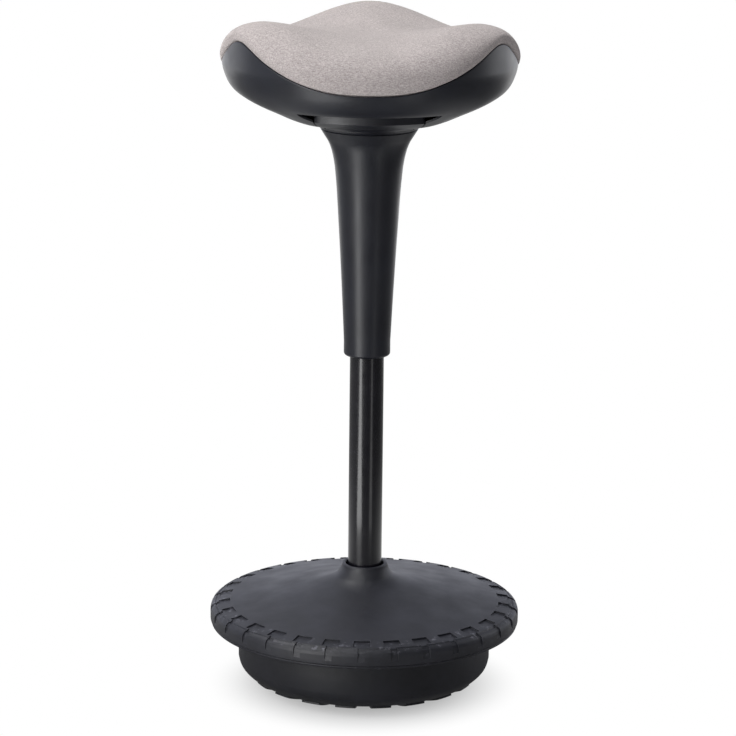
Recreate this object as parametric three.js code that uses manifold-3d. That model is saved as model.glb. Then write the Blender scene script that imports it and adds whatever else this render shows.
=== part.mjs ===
// A wobble stool: a three-lobed saddle seat on a gas lift, over a weighted base with a curved sole.
// Millimetres, +Z up, the sole rests at Z 0 and the sitter's front is -Y.
import * as THREE from 'three';
import { mergeVertices } from 'three/addons/utils/BufferGeometryUtils.js';
import Module from 'manifold-3d';

const wasm = await Module();
wasm.setup();

// Fits and facets
const gap = 0.3; // between pieces that touch
const easyGap = 0.8; // round a bolt or in a moulded slot
const overrun = 3; // how far a cut runs past what it cuts
const baseSides = 60;
const bowlSides = 40;
const plateSides = 30;
const seatSides = 42;
const tubeSides = 24;
const hiddenSides = 18;
const smallSides = 8;

// Levels up the stool, with the seat at the top of its travel
const stroke = 220; // height adjustment
const coverEdgeZ = 78.4; // underside of the base's rim
const collarTopZ = 150.6;
const columnFootZ = 25.6;
const sleeveClearance = 34.5; // sleeve over the collar with the seat right down
const columnOverlap = 20.5; // how far the column reaches up inside the sleeve
const socketClearance = 5; // mount socket over the column with the seat right down
const neckRise = 23.4; // neck above the mount socket's foot
const shellRise = 60.6; // rim's valleys above the neck
const lobeHeight = 48.4; // rise of the rim from valley to lobe
const saddleRise = 50; // middle of the cushion above the valleys
const sleeveFootZ = collarTopZ + stroke + sleeveClearance;
const columnTopZ = sleeveFootZ + columnOverlap;
const mountSocketFootZ = columnTopZ + stroke + socketClearance;
const neckZ = mountSocketFootZ + neckRise; // where the sleeve meets the seat shell
const rimLowZ = neckZ + shellRise; // the shell's rim in its three valleys
const crownZ = rimLowZ + saddleRise;

// Sole and bowl
const soleFlatRadius = 57;
const bowlRadius = 150.3;
const bowlShoulderZ = 33.4;
const bowlWall = 4;
const solePad = 5; // thickness of the moulded bottom
const soleShares = [[0.3, 0.11], [0.57, 0.275], [0.84, 0.505], [0.955, 0.77], [1, 1]];
const solePadShares = [[0.57, 0.275], [0.84, 0.505], [1, 1]];
const lugCount = 20;
const lugProud = 2.4;
const lugInset = 15.3; // lugs' outer ends from the bowl's side
const lugLength = 40;
const lugSpace = 16.4;
const lugOuterRadius = bowlRadius - lugInset;
const lugInnerRadius = lugOuterRadius - lugLength;

// Base cover
const rimRadius = 184;
const rimHeight = 17.8;
const coverWall = 3.5;
const shoulderRun = 19; // from the rim's side in to the cone
const shoulderRise = 26.2; // from the rim's underside up to the cone
const flareRadius = 60;
const flareDrop = 26; // from the collar's top down to the cone
const collarRadius = 26;
const collarBore = 22.7;
const coneFootRadius = rimRadius - shoulderRun;
const coneFootZ = coverEdgeZ + shoulderRise;
const flareZ = collarTopZ - flareDrop;

// Tread cuts round the cover's shoulder, each a T with its stem down the rim
const grooveCount = 30;
const grooveDepth = 2;
const grooveBar = 19; // across the T
const grooveBarIn = 4.5; // from the shoulder's crease up the cone
const grooveBarOut = 3.5; // and down the shoulder
const grooveStem = 9;
const grooveFootRise = 9.2; // stem's foot above the rim's underside
const grooveTurn = -0.014; // radians from the front to the nearest cut
const grooveBarInner = coneFootRadius - grooveBarIn;
const grooveBarOuter = coneFootRadius + grooveBarOut;
const grooveFootZ = coverEdgeZ + grooveFootRise;

// Steel inside the base
const plateInset = 8; // plate's edge from the rim's side
const plateThick = 3;
const plateScrewCount = 6;
const plateScrewInset = 10.3; // screws from the bowl's side
const plateScrewRadius = 2.5;
const plateScrewDepth = 22;
const bossRadius = 7;
const socketWall = 5.4;
const socketFootRise = 4; // socket above the column's foot
const socketTopDrop = 27; // and below the collar's top
const socketFlangeRadius = 46;
const gussetCount = 4;
const gussetReach = 62;
const gussetTopDrop = 14;
const gussetThick = 4;
const ballastInner = 38;
const ballastSpace = 22; // ballast's edge from the circle of plate screws
const ballastSeatZ = 20;
const ballastThick = 14;
const ballastBoltCount = 3;
const ballastBoltRadius = 3;
const plateRadius = rimRadius - plateInset;
const plateScrewCircle = bowlRadius - plateScrewInset;
const socketFootZ = columnFootZ + socketFootRise;
const socketTopZ = collarTopZ - socketTopDrop;
const gussetTopZ = socketTopZ - gussetTopDrop;
const ballastOuter = plateScrewCircle - ballastSpace;
const ballastBoltCircle = (ballastInner + ballastOuter) / 2;
const ribCount = 6;
const ribThick = 4;

// Column
const tubeRadius = 20;
const tubeBore = 18.5;
const tubeFootRadius = 19.2; // the foot tapers into its socket
const tubeTaperLength = 65;
const tubeFloor = 3;
const bushLength = 80;
const bushFlange = 2;

// Gas lift
const cylinderRadius = 14;
const cylinderBore = 12.5;
const cylinderGuided = 70; // length left inside the column at full height
const cylinderTaper = 42; // length of the tapered top
const cylinderNose = 13.2; // radius at the tapered top
const cylinderHead = 21; // solid top that holds the valve
const valveRadius = 3;
const valveProud = 5;
const valveLength = 20;
const rodRadius = 5;
const rodNeckRadius = 3.6; // in the clip's groove and at the piston
const rodFootZ = 22;
const pistonRise = 24; // piston above the cylinder's foot at full height
const pistonThick = 11;
const washerRadius = 14;
const washerThick = 2;
const bearingThick = 4;
const ballCount = 6;
const bumperHeight = 16;
const clipThick = 1.5;
const clipRadius = 10;
const cylinderFootZ = columnTopZ - cylinderGuided;
const cylinderTopZ = mountSocketFootZ + cylinderTaper;
const pistonFootZ = cylinderFootZ + pistonRise;

// Seat mount
const bellyRadius = 170; // the shell's radius where its wall turns upright
const mountSocketRadius = 20;
const noseProud = 1; // cylinder's top above its socket
const channelHalf = 38; // half the channel's width
const channelLength = 130;
const webSetback = 12; // the channel's front is cut back over the paddle, and its flanges run on
const flangeHalf = 72;
const steel = 3;
const boardDrop = 17; // board's underside below the rim's valleys
const boardThick = 10;
const boardShare = 0.77; // board's edge on the way from the neck to the belly
const mountBoltX = 57;
const mountBoltY = 55;
const mountBoltRadius = 3;
const mountBoltHead = 5.5;
const mountBoltHeadThick = 3.2;
const teeFlangeRadius = 9;
const teeFlangeThick = 1.2;
const teeBarrel = 1.3; // barrel wall
const mountSocketTopZ = cylinderTopZ - noseProud;
const channelWebZ = mountSocketTopZ - steel;
const boardFootZ = rimLowZ - boardDrop;

// Sleeve
const sleeveLength = neckZ - sleeveFootZ;
const sleeveWall = 3;
const sleeveFootRadius = 27.3;
const sleeveHeadRadius = 56.5;
const sleeveFootRound = 3.5;
const sleeveShares = [
  [0.065, 0], [0.33, 0.12], [0.597, 0.26], [0.729, 0.336], [0.816, 0.408],
  [0.87, 0.479], [0.917, 0.596], [0.949, 0.71], [0.976, 0.91], [1, 1],
];
const spigotRadius = 52.4;
const spigotWall = 2.6;
const spigotHeight = 12;
const barbCount = 4;
const barbReach = 2.2;
const barbWidth = 12;
const barbThick = 3;

// Seat shell
const shellWall = 3;
const bellyRise = 15; // the widest line above the rim's valleys
const bellyZ = rimLowZ + bellyRise;
const scallopSharpness = 1.5;
const crestSharpness = 10;
const crestShare = 0.25; // how much of each lobe is its narrow crest
const bellyShares = [
  [0, 0], [0.12, 0.112], [0.489, 0.295], [0.683, 0.426], [0.815, 0.532], [0.898, 0.637], [0.946, 0.745],
  [1, 1],
];
const rimStepShares = [0.55, 1];
const rimChamfer = 0.8;
const boardRadius = sleeveHeadRadius + (bellyRadius - sleeveHeadRadius) * boardShare;
const shellBossInset = 26; // bosses from the board's edge
const shellBossCircle = boardRadius - shellBossInset;
const shellScrewRadius = 2;
const shellScrewHead = 4.5;
const shellScrewGrip = 7; // screw length in the board
const shellScrewCount = 3;

// Finger slot and release paddle
const slotInset = 24; // slot's front edge from the belly
const slotTipX = 81;
const slotWidth = 26; // for the fingers, from the front edge back to the paddle
const paddleCornerX = 63.8;
const paddleFlatX = 58.5;
const paddleRearSpace = 5.5; // paddle's rear edge from the neck
const paddleRearX = 33;
const paddleThick = 7;
const paddleRearThick = 4;
const paddleWeb = 14.4; // upright web between the paddle and its lever
const pivotY = -40;
const pivotRise = 8.3; // pivot above the cylinder's top
const pivotRadius = 2.5;
const pivotNeckRadius = 1.75;
const pivotBoss = 6;
const leverWidth = 24;
const leverThick = 6;
const leverTail = 6; // how far the lever runs past the valve
const pivotHead = 4.5;
const pivotHeadThick = 1.5;
const slotRadius = bellyRadius - slotInset;
const paddleFaceRadius = slotRadius - slotWidth;
const paddleRearRadius = sleeveHeadRadius + paddleRearSpace;
const pivotZ = cylinderTopZ + pivotRise;

// Cushion
const coverThick = 1.2;
const cushionOverhang = 3.6;
const cushionRoll = 41.6; // width of the rounded edge above its widest point
const cushionTuck = 23.6; // and of its rounding below
const cushionRadius = bellyRadius + cushionOverhang;
const cushionShoulder = cushionRadius - cushionRoll;
const cushionRise = 22; // shoulder above the lobes' crests
const valleyFill = 21.6; // how much higher than that it stands over the valleys
const fillSharpness = 1.4;
const crownSharpness = 1.7;
const cushionBulgeRise = 9; // widest point above the rim
const hemWidth = 12;
const rollShares = [-0.5, -0.1, 0.3, 0.65, 1]; // quarter turns of the edge roll
const crownShares = [0.75, 0.42];

// Finishes
const fabricGrey = { color: 0xb5aaa6, roughness: 0.95, metalness: 0 };
const blackPlastic = { color: 0x2a2b2f, roughness: 0.55, metalness: 0 };
const blackRubber = { color: 0x36373b, roughness: 0.7, metalness: 0 };
const blackEnamel = { color: 0x141318, roughness: 0.25, metalness: 0.3 };
const brightSteel = { color: 0xb9bcc0, roughness: 0.3, metalness: 1 };
const zincSteel = { color: 0x9da1a6, roughness: 0.4, metalness: 1 };
const greyIron = { color: 0x55565a, roughness: 0.8, metalness: 0.7 };
const paleFoam = { color: 0xd8d2b8, roughness: 1, metalness: 0 };
const birchPly = { color: 0xc9a878, roughness: 0.8, metalness: 0 };
const whiteNylon = { color: 0xd9d8d2, roughness: 0.5, metalness: 0 };

// Whole turns and quarter turns
const turn = 2 * Math.PI;
const quarterTurn = Math.PI / 2;
const frontAngle = -quarterTurn;

const polar = (radius, angle) => [radius * Math.cos(angle), radius * Math.sin(angle)];

// Height or radius read off a line of [radius, height] points
function between(points, at, value, key) {
  const i = points.findIndex((point) => point[key] >= at);
  if (i < 0) return points[points.length - 1][value];
  if (i === 0) return points[0][value];
  const [low, high] = [points[i - 1], points[i]];
  return low[value] + ((at - low[key]) / (high[key] - low[key])) * (high[value] - low[value]);
}

// Solids from geometry, and back

function weld(geometry) {
  const bare = new THREE.BufferGeometry();
  bare.setAttribute('position', geometry.getAttribute('position').clone());
  if (geometry.index) bare.setIndex(geometry.index.clone());
  const merged = mergeVertices(bare, gap / 1000);
  const corners = [];
  for (let i = 0; i < merged.index.count; i += 3) {
    const face = [0, 1, 2].map((k) => merged.index.getX(i + k));
    if (new Set(face).size === 3) corners.push(...face);
  }
  merged.setIndex(corners);
  return merged;
}

function solidOf(geometry) {
  const welded = weld(geometry);
  return new wasm.Manifold(new wasm.Mesh({
    numProp: 3,
    vertProperties: new Float32Array(welded.getAttribute('position').array),
    triVerts: new Uint32Array(welded.index.array),
  }));
}

function geometryOf(solid) {
  const mesh = solid.getMesh();
  const geometry = new THREE.BufferGeometry();
  const places = new Float32Array(mesh.numVert * 3);
  for (let i = 0; i < mesh.numVert; i += 1) {
    for (let k = 0; k < 3; k += 1) places[3 * i + k] = mesh.vertProperties[mesh.numProp * i + k];
  }
  geometry.setAttribute('position', new THREE.BufferAttribute(places, 3));
  geometry.setIndex(new THREE.BufferAttribute(new Uint32Array(mesh.triVerts), 1));
  return geometry;
}

const joined = (first, ...others) => others.reduce((sum, next) => sum.add(next), first);
const cutBy = (body, ...tools) => tools.reduce((rest, tool) => rest.subtract(tool), body);

// A closed outline of [radius, height] points turned about Z
function turned(outline, sides) {
  let area = 0;
  outline.forEach(([r, z], i) => {
    const [nextR, nextZ] = outline[(i + 1) % outline.length];
    area += r * nextZ - nextR * z;
  });
  const loop = (area < 0 ? [...outline].reverse() : outline).map(([r, z]) => new THREE.Vector2(r, z));
  loop.push(loop[0].clone());
  return solidOf(new THREE.LatheGeometry(loop, sides).rotateX(quarterTurn));
}

const ring = (inner, outer, footZ, topZ, sides) => turned(
  [[inner, footZ], [outer, footZ], [outer, topZ], [inner, topZ]],
  sides,
);

// A round pin or cutter along Z
function disc(radius, footZ, topZ, sides = smallSides) {
  const geometry = new THREE.CylinderGeometry(radius, radius, topZ - footZ, sides);
  return solidOf(geometry.rotateX(quarterTurn).translate(0, 0, (footZ + topZ) / 2));
}

// A round pin or cutter along X
function crossPin(radius, fromX, toX, y, z, sides = smallSides) {
  const geometry = new THREE.CylinderGeometry(radius, radius, toX - fromX, sides);
  return solidOf(geometry.rotateZ(quarterTurn).translate((fromX + toX) / 2, y, z));
}

function block([fromX, toX], [fromY, toY], [fromZ, toZ]) {
  const geometry = new THREE.BoxGeometry(toX - fromX, toY - fromY, toZ - fromZ);
  return solidOf(geometry.translate((fromX + toX) / 2, (fromY + toY) / 2, (fromZ + toZ) / 2));
}

// A plan outline raised from one height to another
function raised(shape, footZ, topZ, curveSegments) {
  const options = { depth: topZ - footZ, bevelEnabled: false, curveSegments };
  return solidOf(new THREE.ExtrudeGeometry(shape, options).translate(0, 0, footZ));
}

// Rings of points joined into a skin; a ring drawn to one point closes it as a pole.
// From ring turnsBack on, the skin runs back inside itself and its facets keep the outer ones' diagonals.
function loft(rings, turnsBack = 0) {
  const sides = rings[0].length;
  const places = rings.flat(2);
  const faces = [];
  const last = turnsBack ? rings.length : rings.length - 1;
  for (let i = 0; i < last; i += 1) {
    const above = (i + 1) % rings.length;
    for (let j = 0; j < sides; j += 1) {
      const next = (j + 1) % sides;
      const [a, b] = [i * sides + j, i * sides + next];
      const [c, d] = [above * sides + next, above * sides + j];
      if (turnsBack && i >= turnsBack) faces.push(a, b, d, b, c, d);
      else faces.push(a, b, c, a, c, d);
    }
  }
  const geometry = new THREE.BufferGeometry();
  geometry.setAttribute('position', new THREE.Float32BufferAttribute(places, 3));
  geometry.setIndex(faces);
  return solidOf(geometry);
}

const spin = (solid, angle) => solid.rotate([0, 0, THREE.MathUtils.radToDeg(angle)]);

function aroundZ(count, firstAngle, make) {
  return Array.from({ length: count }, (_, i) => make(firstAngle + (turn * i) / count, i));
}

const placedAt = (solid, radius, angle) => solid.translate([...polar(radius, angle), 0]);

const stool = new THREE.Group();

function addPiece(name, solid, finish) {
  const mesh = new THREE.Mesh(geometryOf(solid), new THREE.MeshStandardMaterial(finish));
  mesh.name = name;
  stool.add(mesh);
}

// Base: bowl, ballast, plate, socket and cover

const bowlTopZ = coverEdgeZ + coverWall + 2 * gap;
const plateFootZ = bowlTopZ + gap;
const plateTopZ = plateFootZ + plateThick;

function solePoints(offset, shares = soleShares) {
  const reach = bowlRadius - soleFlatRadius;
  return [[soleFlatRadius, 0], ...shares.map(([along, up]) => [
    soleFlatRadius + reach * along,
    bowlShoulderZ * up,
  ])].map(([r, z]) => [r - offset * (z / bowlShoulderZ), z + offset * (1 - z / bowlShoulderZ)]);
}

function lugRing() {
  const keep = solePoints(0).filter(([r]) => r > lugInnerRadius && r < lugOuterRadius);
  const heightAt = (radius) => between(solePoints(0), radius, 1, 0);
  const end = (radius) => [radius, heightAt(radius)];
  const path = [end(lugInnerRadius), ...keep, end(lugOuterRadius)];
  const under = path.map(([r, z]) => [r, z - lugProud]);
  const over = path.map(([r, z]) => [r, z + solePad / 2]).reverse();
  const whole = turned([...under, ...over], bowlSides);
  const spaces = aroundZ(lugCount, 0, (angle) => spin(
    block([0, lugOuterRadius + overrun], [-lugSpace / 2, lugSpace / 2], [-lugProud, bowlShoulderZ]),
    angle,
  ));
  return cutBy(whole, ...spaces);
}

function bowlBosses() {
  return aroundZ(plateScrewCount, 0, (angle) => {
    const footZ = bowlShoulderZ - solePad;
    return placedAt(disc(bossRadius, footZ, bowlTopZ), plateScrewCircle, angle);
  });
}

function baseBowl() {
  const outer = [[0, 0], ...solePoints(0), [bowlRadius, bowlTopZ]];
  const innerSole = solePoints(solePad, solePadShares).reverse();
  const inner = [[bowlRadius - bowlWall, bowlTopZ], ...innerSole, [0, solePad]];
  const shell = turned([...outer, ...inner], bowlSides);
  const wallLimit = turned([
    [0, 0], ...solePoints(solePad / 2, solePadShares), [bowlRadius - bowlWall / 2, bowlTopZ], [0, bowlTopZ],
  ], bowlSides);
  const ribs = aroundZ(ribCount, Math.PI / ribCount, (angle) => spin(
    block(
      [ballastInner - bossRadius, ballastOuter], [-ribThick / 2, ribThick / 2], [solePad / 2, ballastSeatZ],
    ),
    angle,
  ));
  const ballastBosses = aroundZ(ballastBoltCount, frontAngle, (angle) => placedAt(
    disc(bossRadius, solePad / 2, ballastSeatZ), ballastBoltCircle, angle));
  const inside = joined(...bowlBosses(), ...ribs, ...ballastBosses).intersect(wallLimit);
  const plateHole = disc(plateScrewRadius + gap, bowlTopZ - plateScrewDepth, bowlTopZ + overrun);
  const ballastHole = disc(ballastBoltRadius + gap, solePad + ballastBoltRadius, ballastSeatZ + overrun);
  const plateHoles = aroundZ(plateScrewCount, 0, (angle) => placedAt(plateHole, plateScrewCircle, angle));
  const ballastHoles = aroundZ(ballastBoltCount, frontAngle,
    (angle) => placedAt(ballastHole, ballastBoltCircle, angle));
  return cutBy(joined(shell, inside, lugRing()), ...plateHoles, ...ballastHoles);
}

const ballastFootZ = ballastSeatZ + gap;
const ballastTopZ = ballastFootZ + ballastThick;

function ballastRing() {
  const hole = disc(ballastBoltRadius + easyGap, ballastFootZ - overrun, ballastTopZ + overrun);
  const holes = aroundZ(ballastBoltCount, frontAngle, (angle) => placedAt(hole, ballastBoltCircle, angle));
  const chamfer = ballastThick / 5;
  const body = turned([
    [ballastInner, ballastFootZ], [ballastOuter - chamfer, ballastFootZ],
    [ballastOuter, ballastFootZ + chamfer], [ballastOuter, ballastTopZ - chamfer],
    [ballastOuter - chamfer, ballastTopZ], [ballastInner, ballastTopZ],
  ], plateSides);
  return cutBy(body, ...holes);
}

// A screw with a flat-bottomed domed head, its seat at Z 0 and its shank pointing down
function screw(shankRadius, headRadius, headThick, length) {
  return turned([
    [0, -length], [shankRadius, -length], [shankRadius, 0],
    [headRadius, 0], [headRadius * 0.8, headThick], [0, headThick],
  ], smallSides);
}

function basePlate() {
  const disk = ring(tubeRadius + gap + socketWall + gap, plateRadius, plateFootZ, plateTopZ, plateSides);
  const holes = aroundZ(plateScrewCount, 0, (angle) => placedAt(
    disc(plateScrewRadius + easyGap, plateFootZ - overrun, plateTopZ + overrun), plateScrewCircle, angle));
  return cutBy(disk, ...holes);
}

const tubeTaperTopZ = columnFootZ + tubeTaperLength;
const tubeRadiusAt = (z) => tubeRadius
  - (tubeRadius - tubeFootRadius) * Math.max(0, (tubeTaperTopZ - z) / tubeTaperLength);

function columnSocket() {
  const outer = tubeRadius + gap + socketWall;
  const flangeFootZ = plateTopZ + gap;
  const body = turned([
    [tubeRadiusAt(socketFootZ) + gap, socketFootZ], [outer, socketFootZ], [outer, flangeFootZ],
    [socketFlangeRadius, flangeFootZ], [socketFlangeRadius, flangeFootZ + plateThick],
    [outer, flangeFootZ + plateThick], [outer, socketTopZ], [tubeRadius + gap, socketTopZ],
    [tubeRadius + gap, tubeTaperTopZ],
  ], tubeSides);
  const profile = new THREE.Shape([
    new THREE.Vector2(outer - socketWall / 2, flangeFootZ),
    new THREE.Vector2(gussetReach, flangeFootZ),
    new THREE.Vector2(gussetReach, flangeFootZ + gussetThick),
    new THREE.Vector2(outer + gussetThick, gussetTopZ),
    new THREE.Vector2(outer - socketWall / 2, gussetTopZ),
  ]);
  const web = new THREE.ExtrudeGeometry(profile, { depth: gussetThick, bevelEnabled: false });
  web.translate(0, 0, -gussetThick / 2).rotateX(quarterTurn);
  const gusset = solidOf(web);
  return joined(body, ...aroundZ(gussetCount, quarterTurn / 2, (angle) => spin(gusset, angle)));
}

// The cover's outer line, pushed in by an offset
function coverLine(offset) {
  const rimTopZ = coverEdgeZ + rimHeight;
  const shoulder = rimRadius - coneFootRadius;
  const drop = coneFootZ - rimTopZ;
  const flareReach = flareRadius - collarRadius;
  const flareDrop = collarTopZ - flareZ;
  const lip = collarRadius - collarBore;
  const flareShares = [[0.03, 0.27], [0.17, 0.62], [0.48, 0.85]];
  const shoulderShares = [[0.68, 0.38], [1, 1]];
  return [
    [collarRadius - lip * 0.35 - offset, collarTopZ],
    [collarRadius - offset, collarTopZ - lip * 0.5],
    ...flareShares.map(([out, down]) => [
      collarRadius + flareReach * out - offset * (1 - down),
      collarTopZ - flareDrop * down - offset * down,
    ]),
    [flareRadius, flareZ - offset],
    [coneFootRadius, coneFootZ - offset],
    ...shoulderShares.map(([out, down]) => [
      coneFootRadius + shoulder * out - offset * down,
      coneFootZ - drop * down - offset * (1 - down),
    ]),
  ];
}

// Upright T-shaped prisms, one for each tread cut
function treadPrisms() {
  const footZ = grooveFootZ;
  const topZ = coneFootZ + rimHeight;
  const reach = rimRadius + overrun;
  const bar = block([grooveBarInner, grooveBarOuter], [-grooveBar / 2, grooveBar / 2], [footZ, topZ]);
  const stem = block([grooveBarOuter - overrun, reach], [-grooveStem / 2, grooveStem / 2], [footZ, topZ]);
  const tee = joined(bar, stem);
  return joined(...aroundZ(grooveCount, frontAngle + grooveTurn, (angle) => spin(tee, angle)));
}

function baseCover() {
  const lip = collarRadius - collarBore;
  const ledgeZ = coverEdgeZ + coverWall;
  const channelRadius = plateRadius + gap;
  const wellFootZ = plateTopZ + gap;
  const edgeRadius = rimRadius - lip * 0.45;
  const line = coverLine(0);
  const outer = [...line, [rimRadius, coverEdgeZ + lip * 0.6], [edgeRadius, coverEdgeZ]];
  const lipInner = bowlRadius + easyGap / 2;
  const inner = [
    [lipInner, coverEdgeZ], [lipInner, ledgeZ], [channelRadius, ledgeZ], [channelRadius, wellFootZ],
    [coneFootRadius, coneFootZ - coverWall - (channelRadius - coneFootRadius) / 3],
    [flareRadius, flareZ - coverWall],
    [collarBore, collarTopZ - (collarTopZ - flareZ) / 2],
    [collarBore, collarTopZ],
  ];
  const body = turned([...outer, ...inner], baseSides);
  const skin = cutBy(
    turned([[grooveBarInner - overrun, grooveFootZ - overrun], [rimRadius + overrun, grooveFootZ - overrun],
      [rimRadius + overrun, flareZ], [grooveBarInner - overrun, flareZ]], baseSides),
    turned([[0, grooveFootZ - 2 * overrun], [rimRadius - grooveDepth, grooveFootZ - 2 * overrun],
      ...coverLine(grooveDepth).filter(([r]) => r > flareRadius).reverse(),
      [flareRadius, flareZ - grooveDepth], [0, flareZ - grooveDepth]], baseSides),
  );
  return body.subtract(treadPrisms().intersect(skin));
}

function addBase() {
  addPiece('base_bowl', baseBowl(), blackRubber);
  addPiece('ballast_ring', ballastRing(), greyIron);
  addPiece('base_plate', basePlate(), zincSteel);
  addPiece('column_socket', columnSocket(), blackEnamel);
  addPiece('base_cover', baseCover(), blackRubber);
  const head = 2 * plateScrewRadius;
  const plateScrew = screw(plateScrewRadius, head, plateScrewRadius, plateScrewDepth - gap);
  aroundZ(plateScrewCount, 0, (angle, i) => addPiece(
    `plate_screw_${i + 1}`,
    placedAt(plateScrew.translate([0, 0, plateTopZ + gap]), plateScrewCircle, angle),
    zincSteel,
  ));
  const boltLength = ballastTopZ + gap - solePad - ballastBoltRadius - gap;
  const bolt = screw(ballastBoltRadius, 2 * ballastBoltRadius, ballastBoltRadius, boltLength);
  aroundZ(ballastBoltCount, frontAngle, (angle, i) => addPiece(
    `ballast_bolt_${i + 1}`,
    placedAt(bolt.translate([0, 0, ballastTopZ + gap]), ballastBoltCircle, angle),
    zincSteel,
  ));
}

// Column, guide bush and the swivel bearing at its foot

const floorTopZ = columnFootZ + tubeFloor;
const lowerWasherZ = floorTopZ + gap;
const bearingZ = lowerWasherZ + washerThick + gap;
const upperWasherZ = bearingZ + bearingThick + gap;
const collarZ = upperWasherZ + washerThick + gap;
const rodCollarThick = 3;
const bumperZ = collarZ + rodCollarThick + gap;
const clipTopZ = columnFootZ - gap;
const shaftHole = rodRadius + easyGap;

function columnTube() {
  return turned([
    [shaftHole, columnFootZ], [tubeFootRadius, columnFootZ], [tubeRadius, tubeTaperTopZ],
    [tubeRadius, columnTopZ - gap], [tubeRadius - gap, columnTopZ], [tubeBore, columnTopZ],
    [tubeBore, tubeTaperTopZ], [tubeFootRadius - (tubeRadius - tubeBore), tubeTaperTopZ - tubeFloor],
    [tubeFootRadius - (tubeRadius - tubeBore), floorTopZ], [shaftHole, floorTopZ],
  ], tubeSides);
}

function guideBush() {
  const outer = tubeBore - gap;
  const bore = cylinderRadius + gap;
  const flangeFootZ = columnTopZ + gap;
  const flangeTopZ = flangeFootZ + bushFlange;
  return turned([
    [bore, columnTopZ - bushLength], [outer, columnTopZ - bushLength], [outer, flangeFootZ],
    [tubeRadius - gap, flangeFootZ], [tubeRadius - gap, flangeTopZ], [bore, flangeTopZ],
  ], hiddenSides);
}

function thrustBearing() {
  const mid = (washerRadius + shaftHole) / 2;
  const ball = bearingThick / 2;
  const [cageFootZ, cageTopZ] = [bearingZ + ball / 2, bearingZ + bearingThick - ball / 2];
  const cage = ring(shaftHole + gap, washerRadius - gap, cageFootZ, cageTopZ, hiddenSides / 2);
  const balls = aroundZ(ballCount, 0, (angle) => placedAt(
    solidOf(new THREE.SphereGeometry(ball, 6, 4).rotateX(quarterTurn).translate(0, 0, bearingZ + ball)),
    mid, angle));
  return joined(cage, ...balls);
}

function retainingClip() {
  const body = ring(rodNeckRadius + 2 * gap, clipRadius, clipTopZ - clipThick, clipTopZ, hiddenSides / 2);
  const mouth = block([-rodRadius / 2, rodRadius / 2], [0, clipRadius + overrun],
    [clipTopZ - clipThick - overrun, clipTopZ + overrun]);
  return cutBy(body, mouth);
}

function addColumn() {
  addPiece('column_tube', columnTube(), blackEnamel);
  addPiece('guide_bush', guideBush(), whiteNylon);
  const washer = (z) => ring(shaftHole, washerRadius, z, z + washerThick, hiddenSides / 2);
  addPiece('lower_washer', washer(lowerWasherZ), brightSteel);
  addPiece('thrust_bearing', thrustBearing(), brightSteel);
  addPiece('upper_washer', washer(upperWasherZ), brightSteel);
  const bulge = washerRadius - 2 * gap;
  addPiece('lift_bumper', turned([
    [rodRadius + gap, bumperZ], [bulge, bumperZ], [bulge, bumperZ + bumperHeight * 0.4],
    [bulge * 0.85, bumperZ + bumperHeight * 0.6],
    [bulge * 0.8, bumperZ + bumperHeight], [rodRadius + gap, bumperZ + bumperHeight],
  ], hiddenSides / 2), blackRubber);
  addPiece('retaining_clip', retainingClip(), zincSteel);
}

// Gas lift: rod and piston stay, cylinder and valve rise and fall

function pistonRod() {
  const neck = rodNeckRadius;
  const headZ = pistonFootZ + pistonThick + gap;
  return turned([
    [0, rodFootZ], [neck, rodFootZ], [rodRadius, rodFootZ + rodRadius - neck],
    [rodRadius, clipTopZ - clipThick - gap], [neck, clipTopZ - clipThick - gap], [neck, clipTopZ + gap],
    [rodRadius, clipTopZ + gap], [rodRadius, collarZ],
    [washerRadius * 0.6, collarZ], [washerRadius * 0.6, collarZ + rodCollarThick],
    [rodRadius, collarZ + rodCollarThick], [rodRadius, pistonFootZ - gap],
    [neck, pistonFootZ - gap], [neck, headZ], [rodRadius, headZ],
    [neck, headZ + clipThick], [0, headZ + clipThick],
  ], hiddenSides / 2);
}

function piston() {
  const outer = cylinderBore - gap;
  const groove = outer * 0.9;
  return turned([
    [rodNeckRadius + gap, pistonFootZ], [outer, pistonFootZ], [outer, pistonFootZ + pistonThick * 0.4],
    [groove, pistonFootZ + pistonThick * 0.4], [groove, pistonFootZ + pistonThick * 0.6],
    [outer, pistonFootZ + pistonThick * 0.6], [outer, pistonFootZ + pistonThick],
    [rodNeckRadius + gap, pistonFootZ + pistonThick],
  ], hiddenSides);
}

const glandFootZ = cylinderFootZ + clipThick + gap;
const glandHeight = 10;
const noseAt = (z) => cylinderRadius
  - (cylinderRadius - cylinderNose) * Math.max(0, (z - mountSocketFootZ) / cylinderTaper);

function gasCylinder() {
  const headZ = cylinderTopZ - cylinderHead;
  const lipRadius = cylinderBore - clipThick * 2;
  return turned([
    [lipRadius, cylinderFootZ], [cylinderRadius, cylinderFootZ], [cylinderRadius, mountSocketFootZ],
    [cylinderNose, cylinderTopZ], [valveRadius + gap, cylinderTopZ], [valveRadius + gap, headZ],
    [cylinderBore, headZ], [cylinderBore, cylinderFootZ + clipThick], [lipRadius, cylinderFootZ + clipThick],
  ], hiddenSides);
}

const valveTopZ = cylinderTopZ + valveProud;

function addLift() {
  addPiece('piston_rod', pistonRod(), brightSteel);
  addPiece('piston', piston(), whiteNylon);
  addPiece('gas_cylinder', gasCylinder(), blackEnamel);
  const glandTopZ = glandFootZ + glandHeight;
  const gland = ring(rodRadius + gap, cylinderBore - gap, glandFootZ, glandTopZ, hiddenSides);
  addPiece('rod_gland', gland, whiteNylon);
  addPiece('valve_pin', turned([
    [0, valveTopZ - valveLength], [valveRadius, valveTopZ - valveLength],
    [valveRadius, valveTopZ - valveRadius / 3], [valveRadius * 0.67, valveTopZ], [0, valveTopZ],
  ], smallSides), brightSteel);
}

// Seat mount: channel, taper socket, board, bolts and tee nuts

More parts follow.
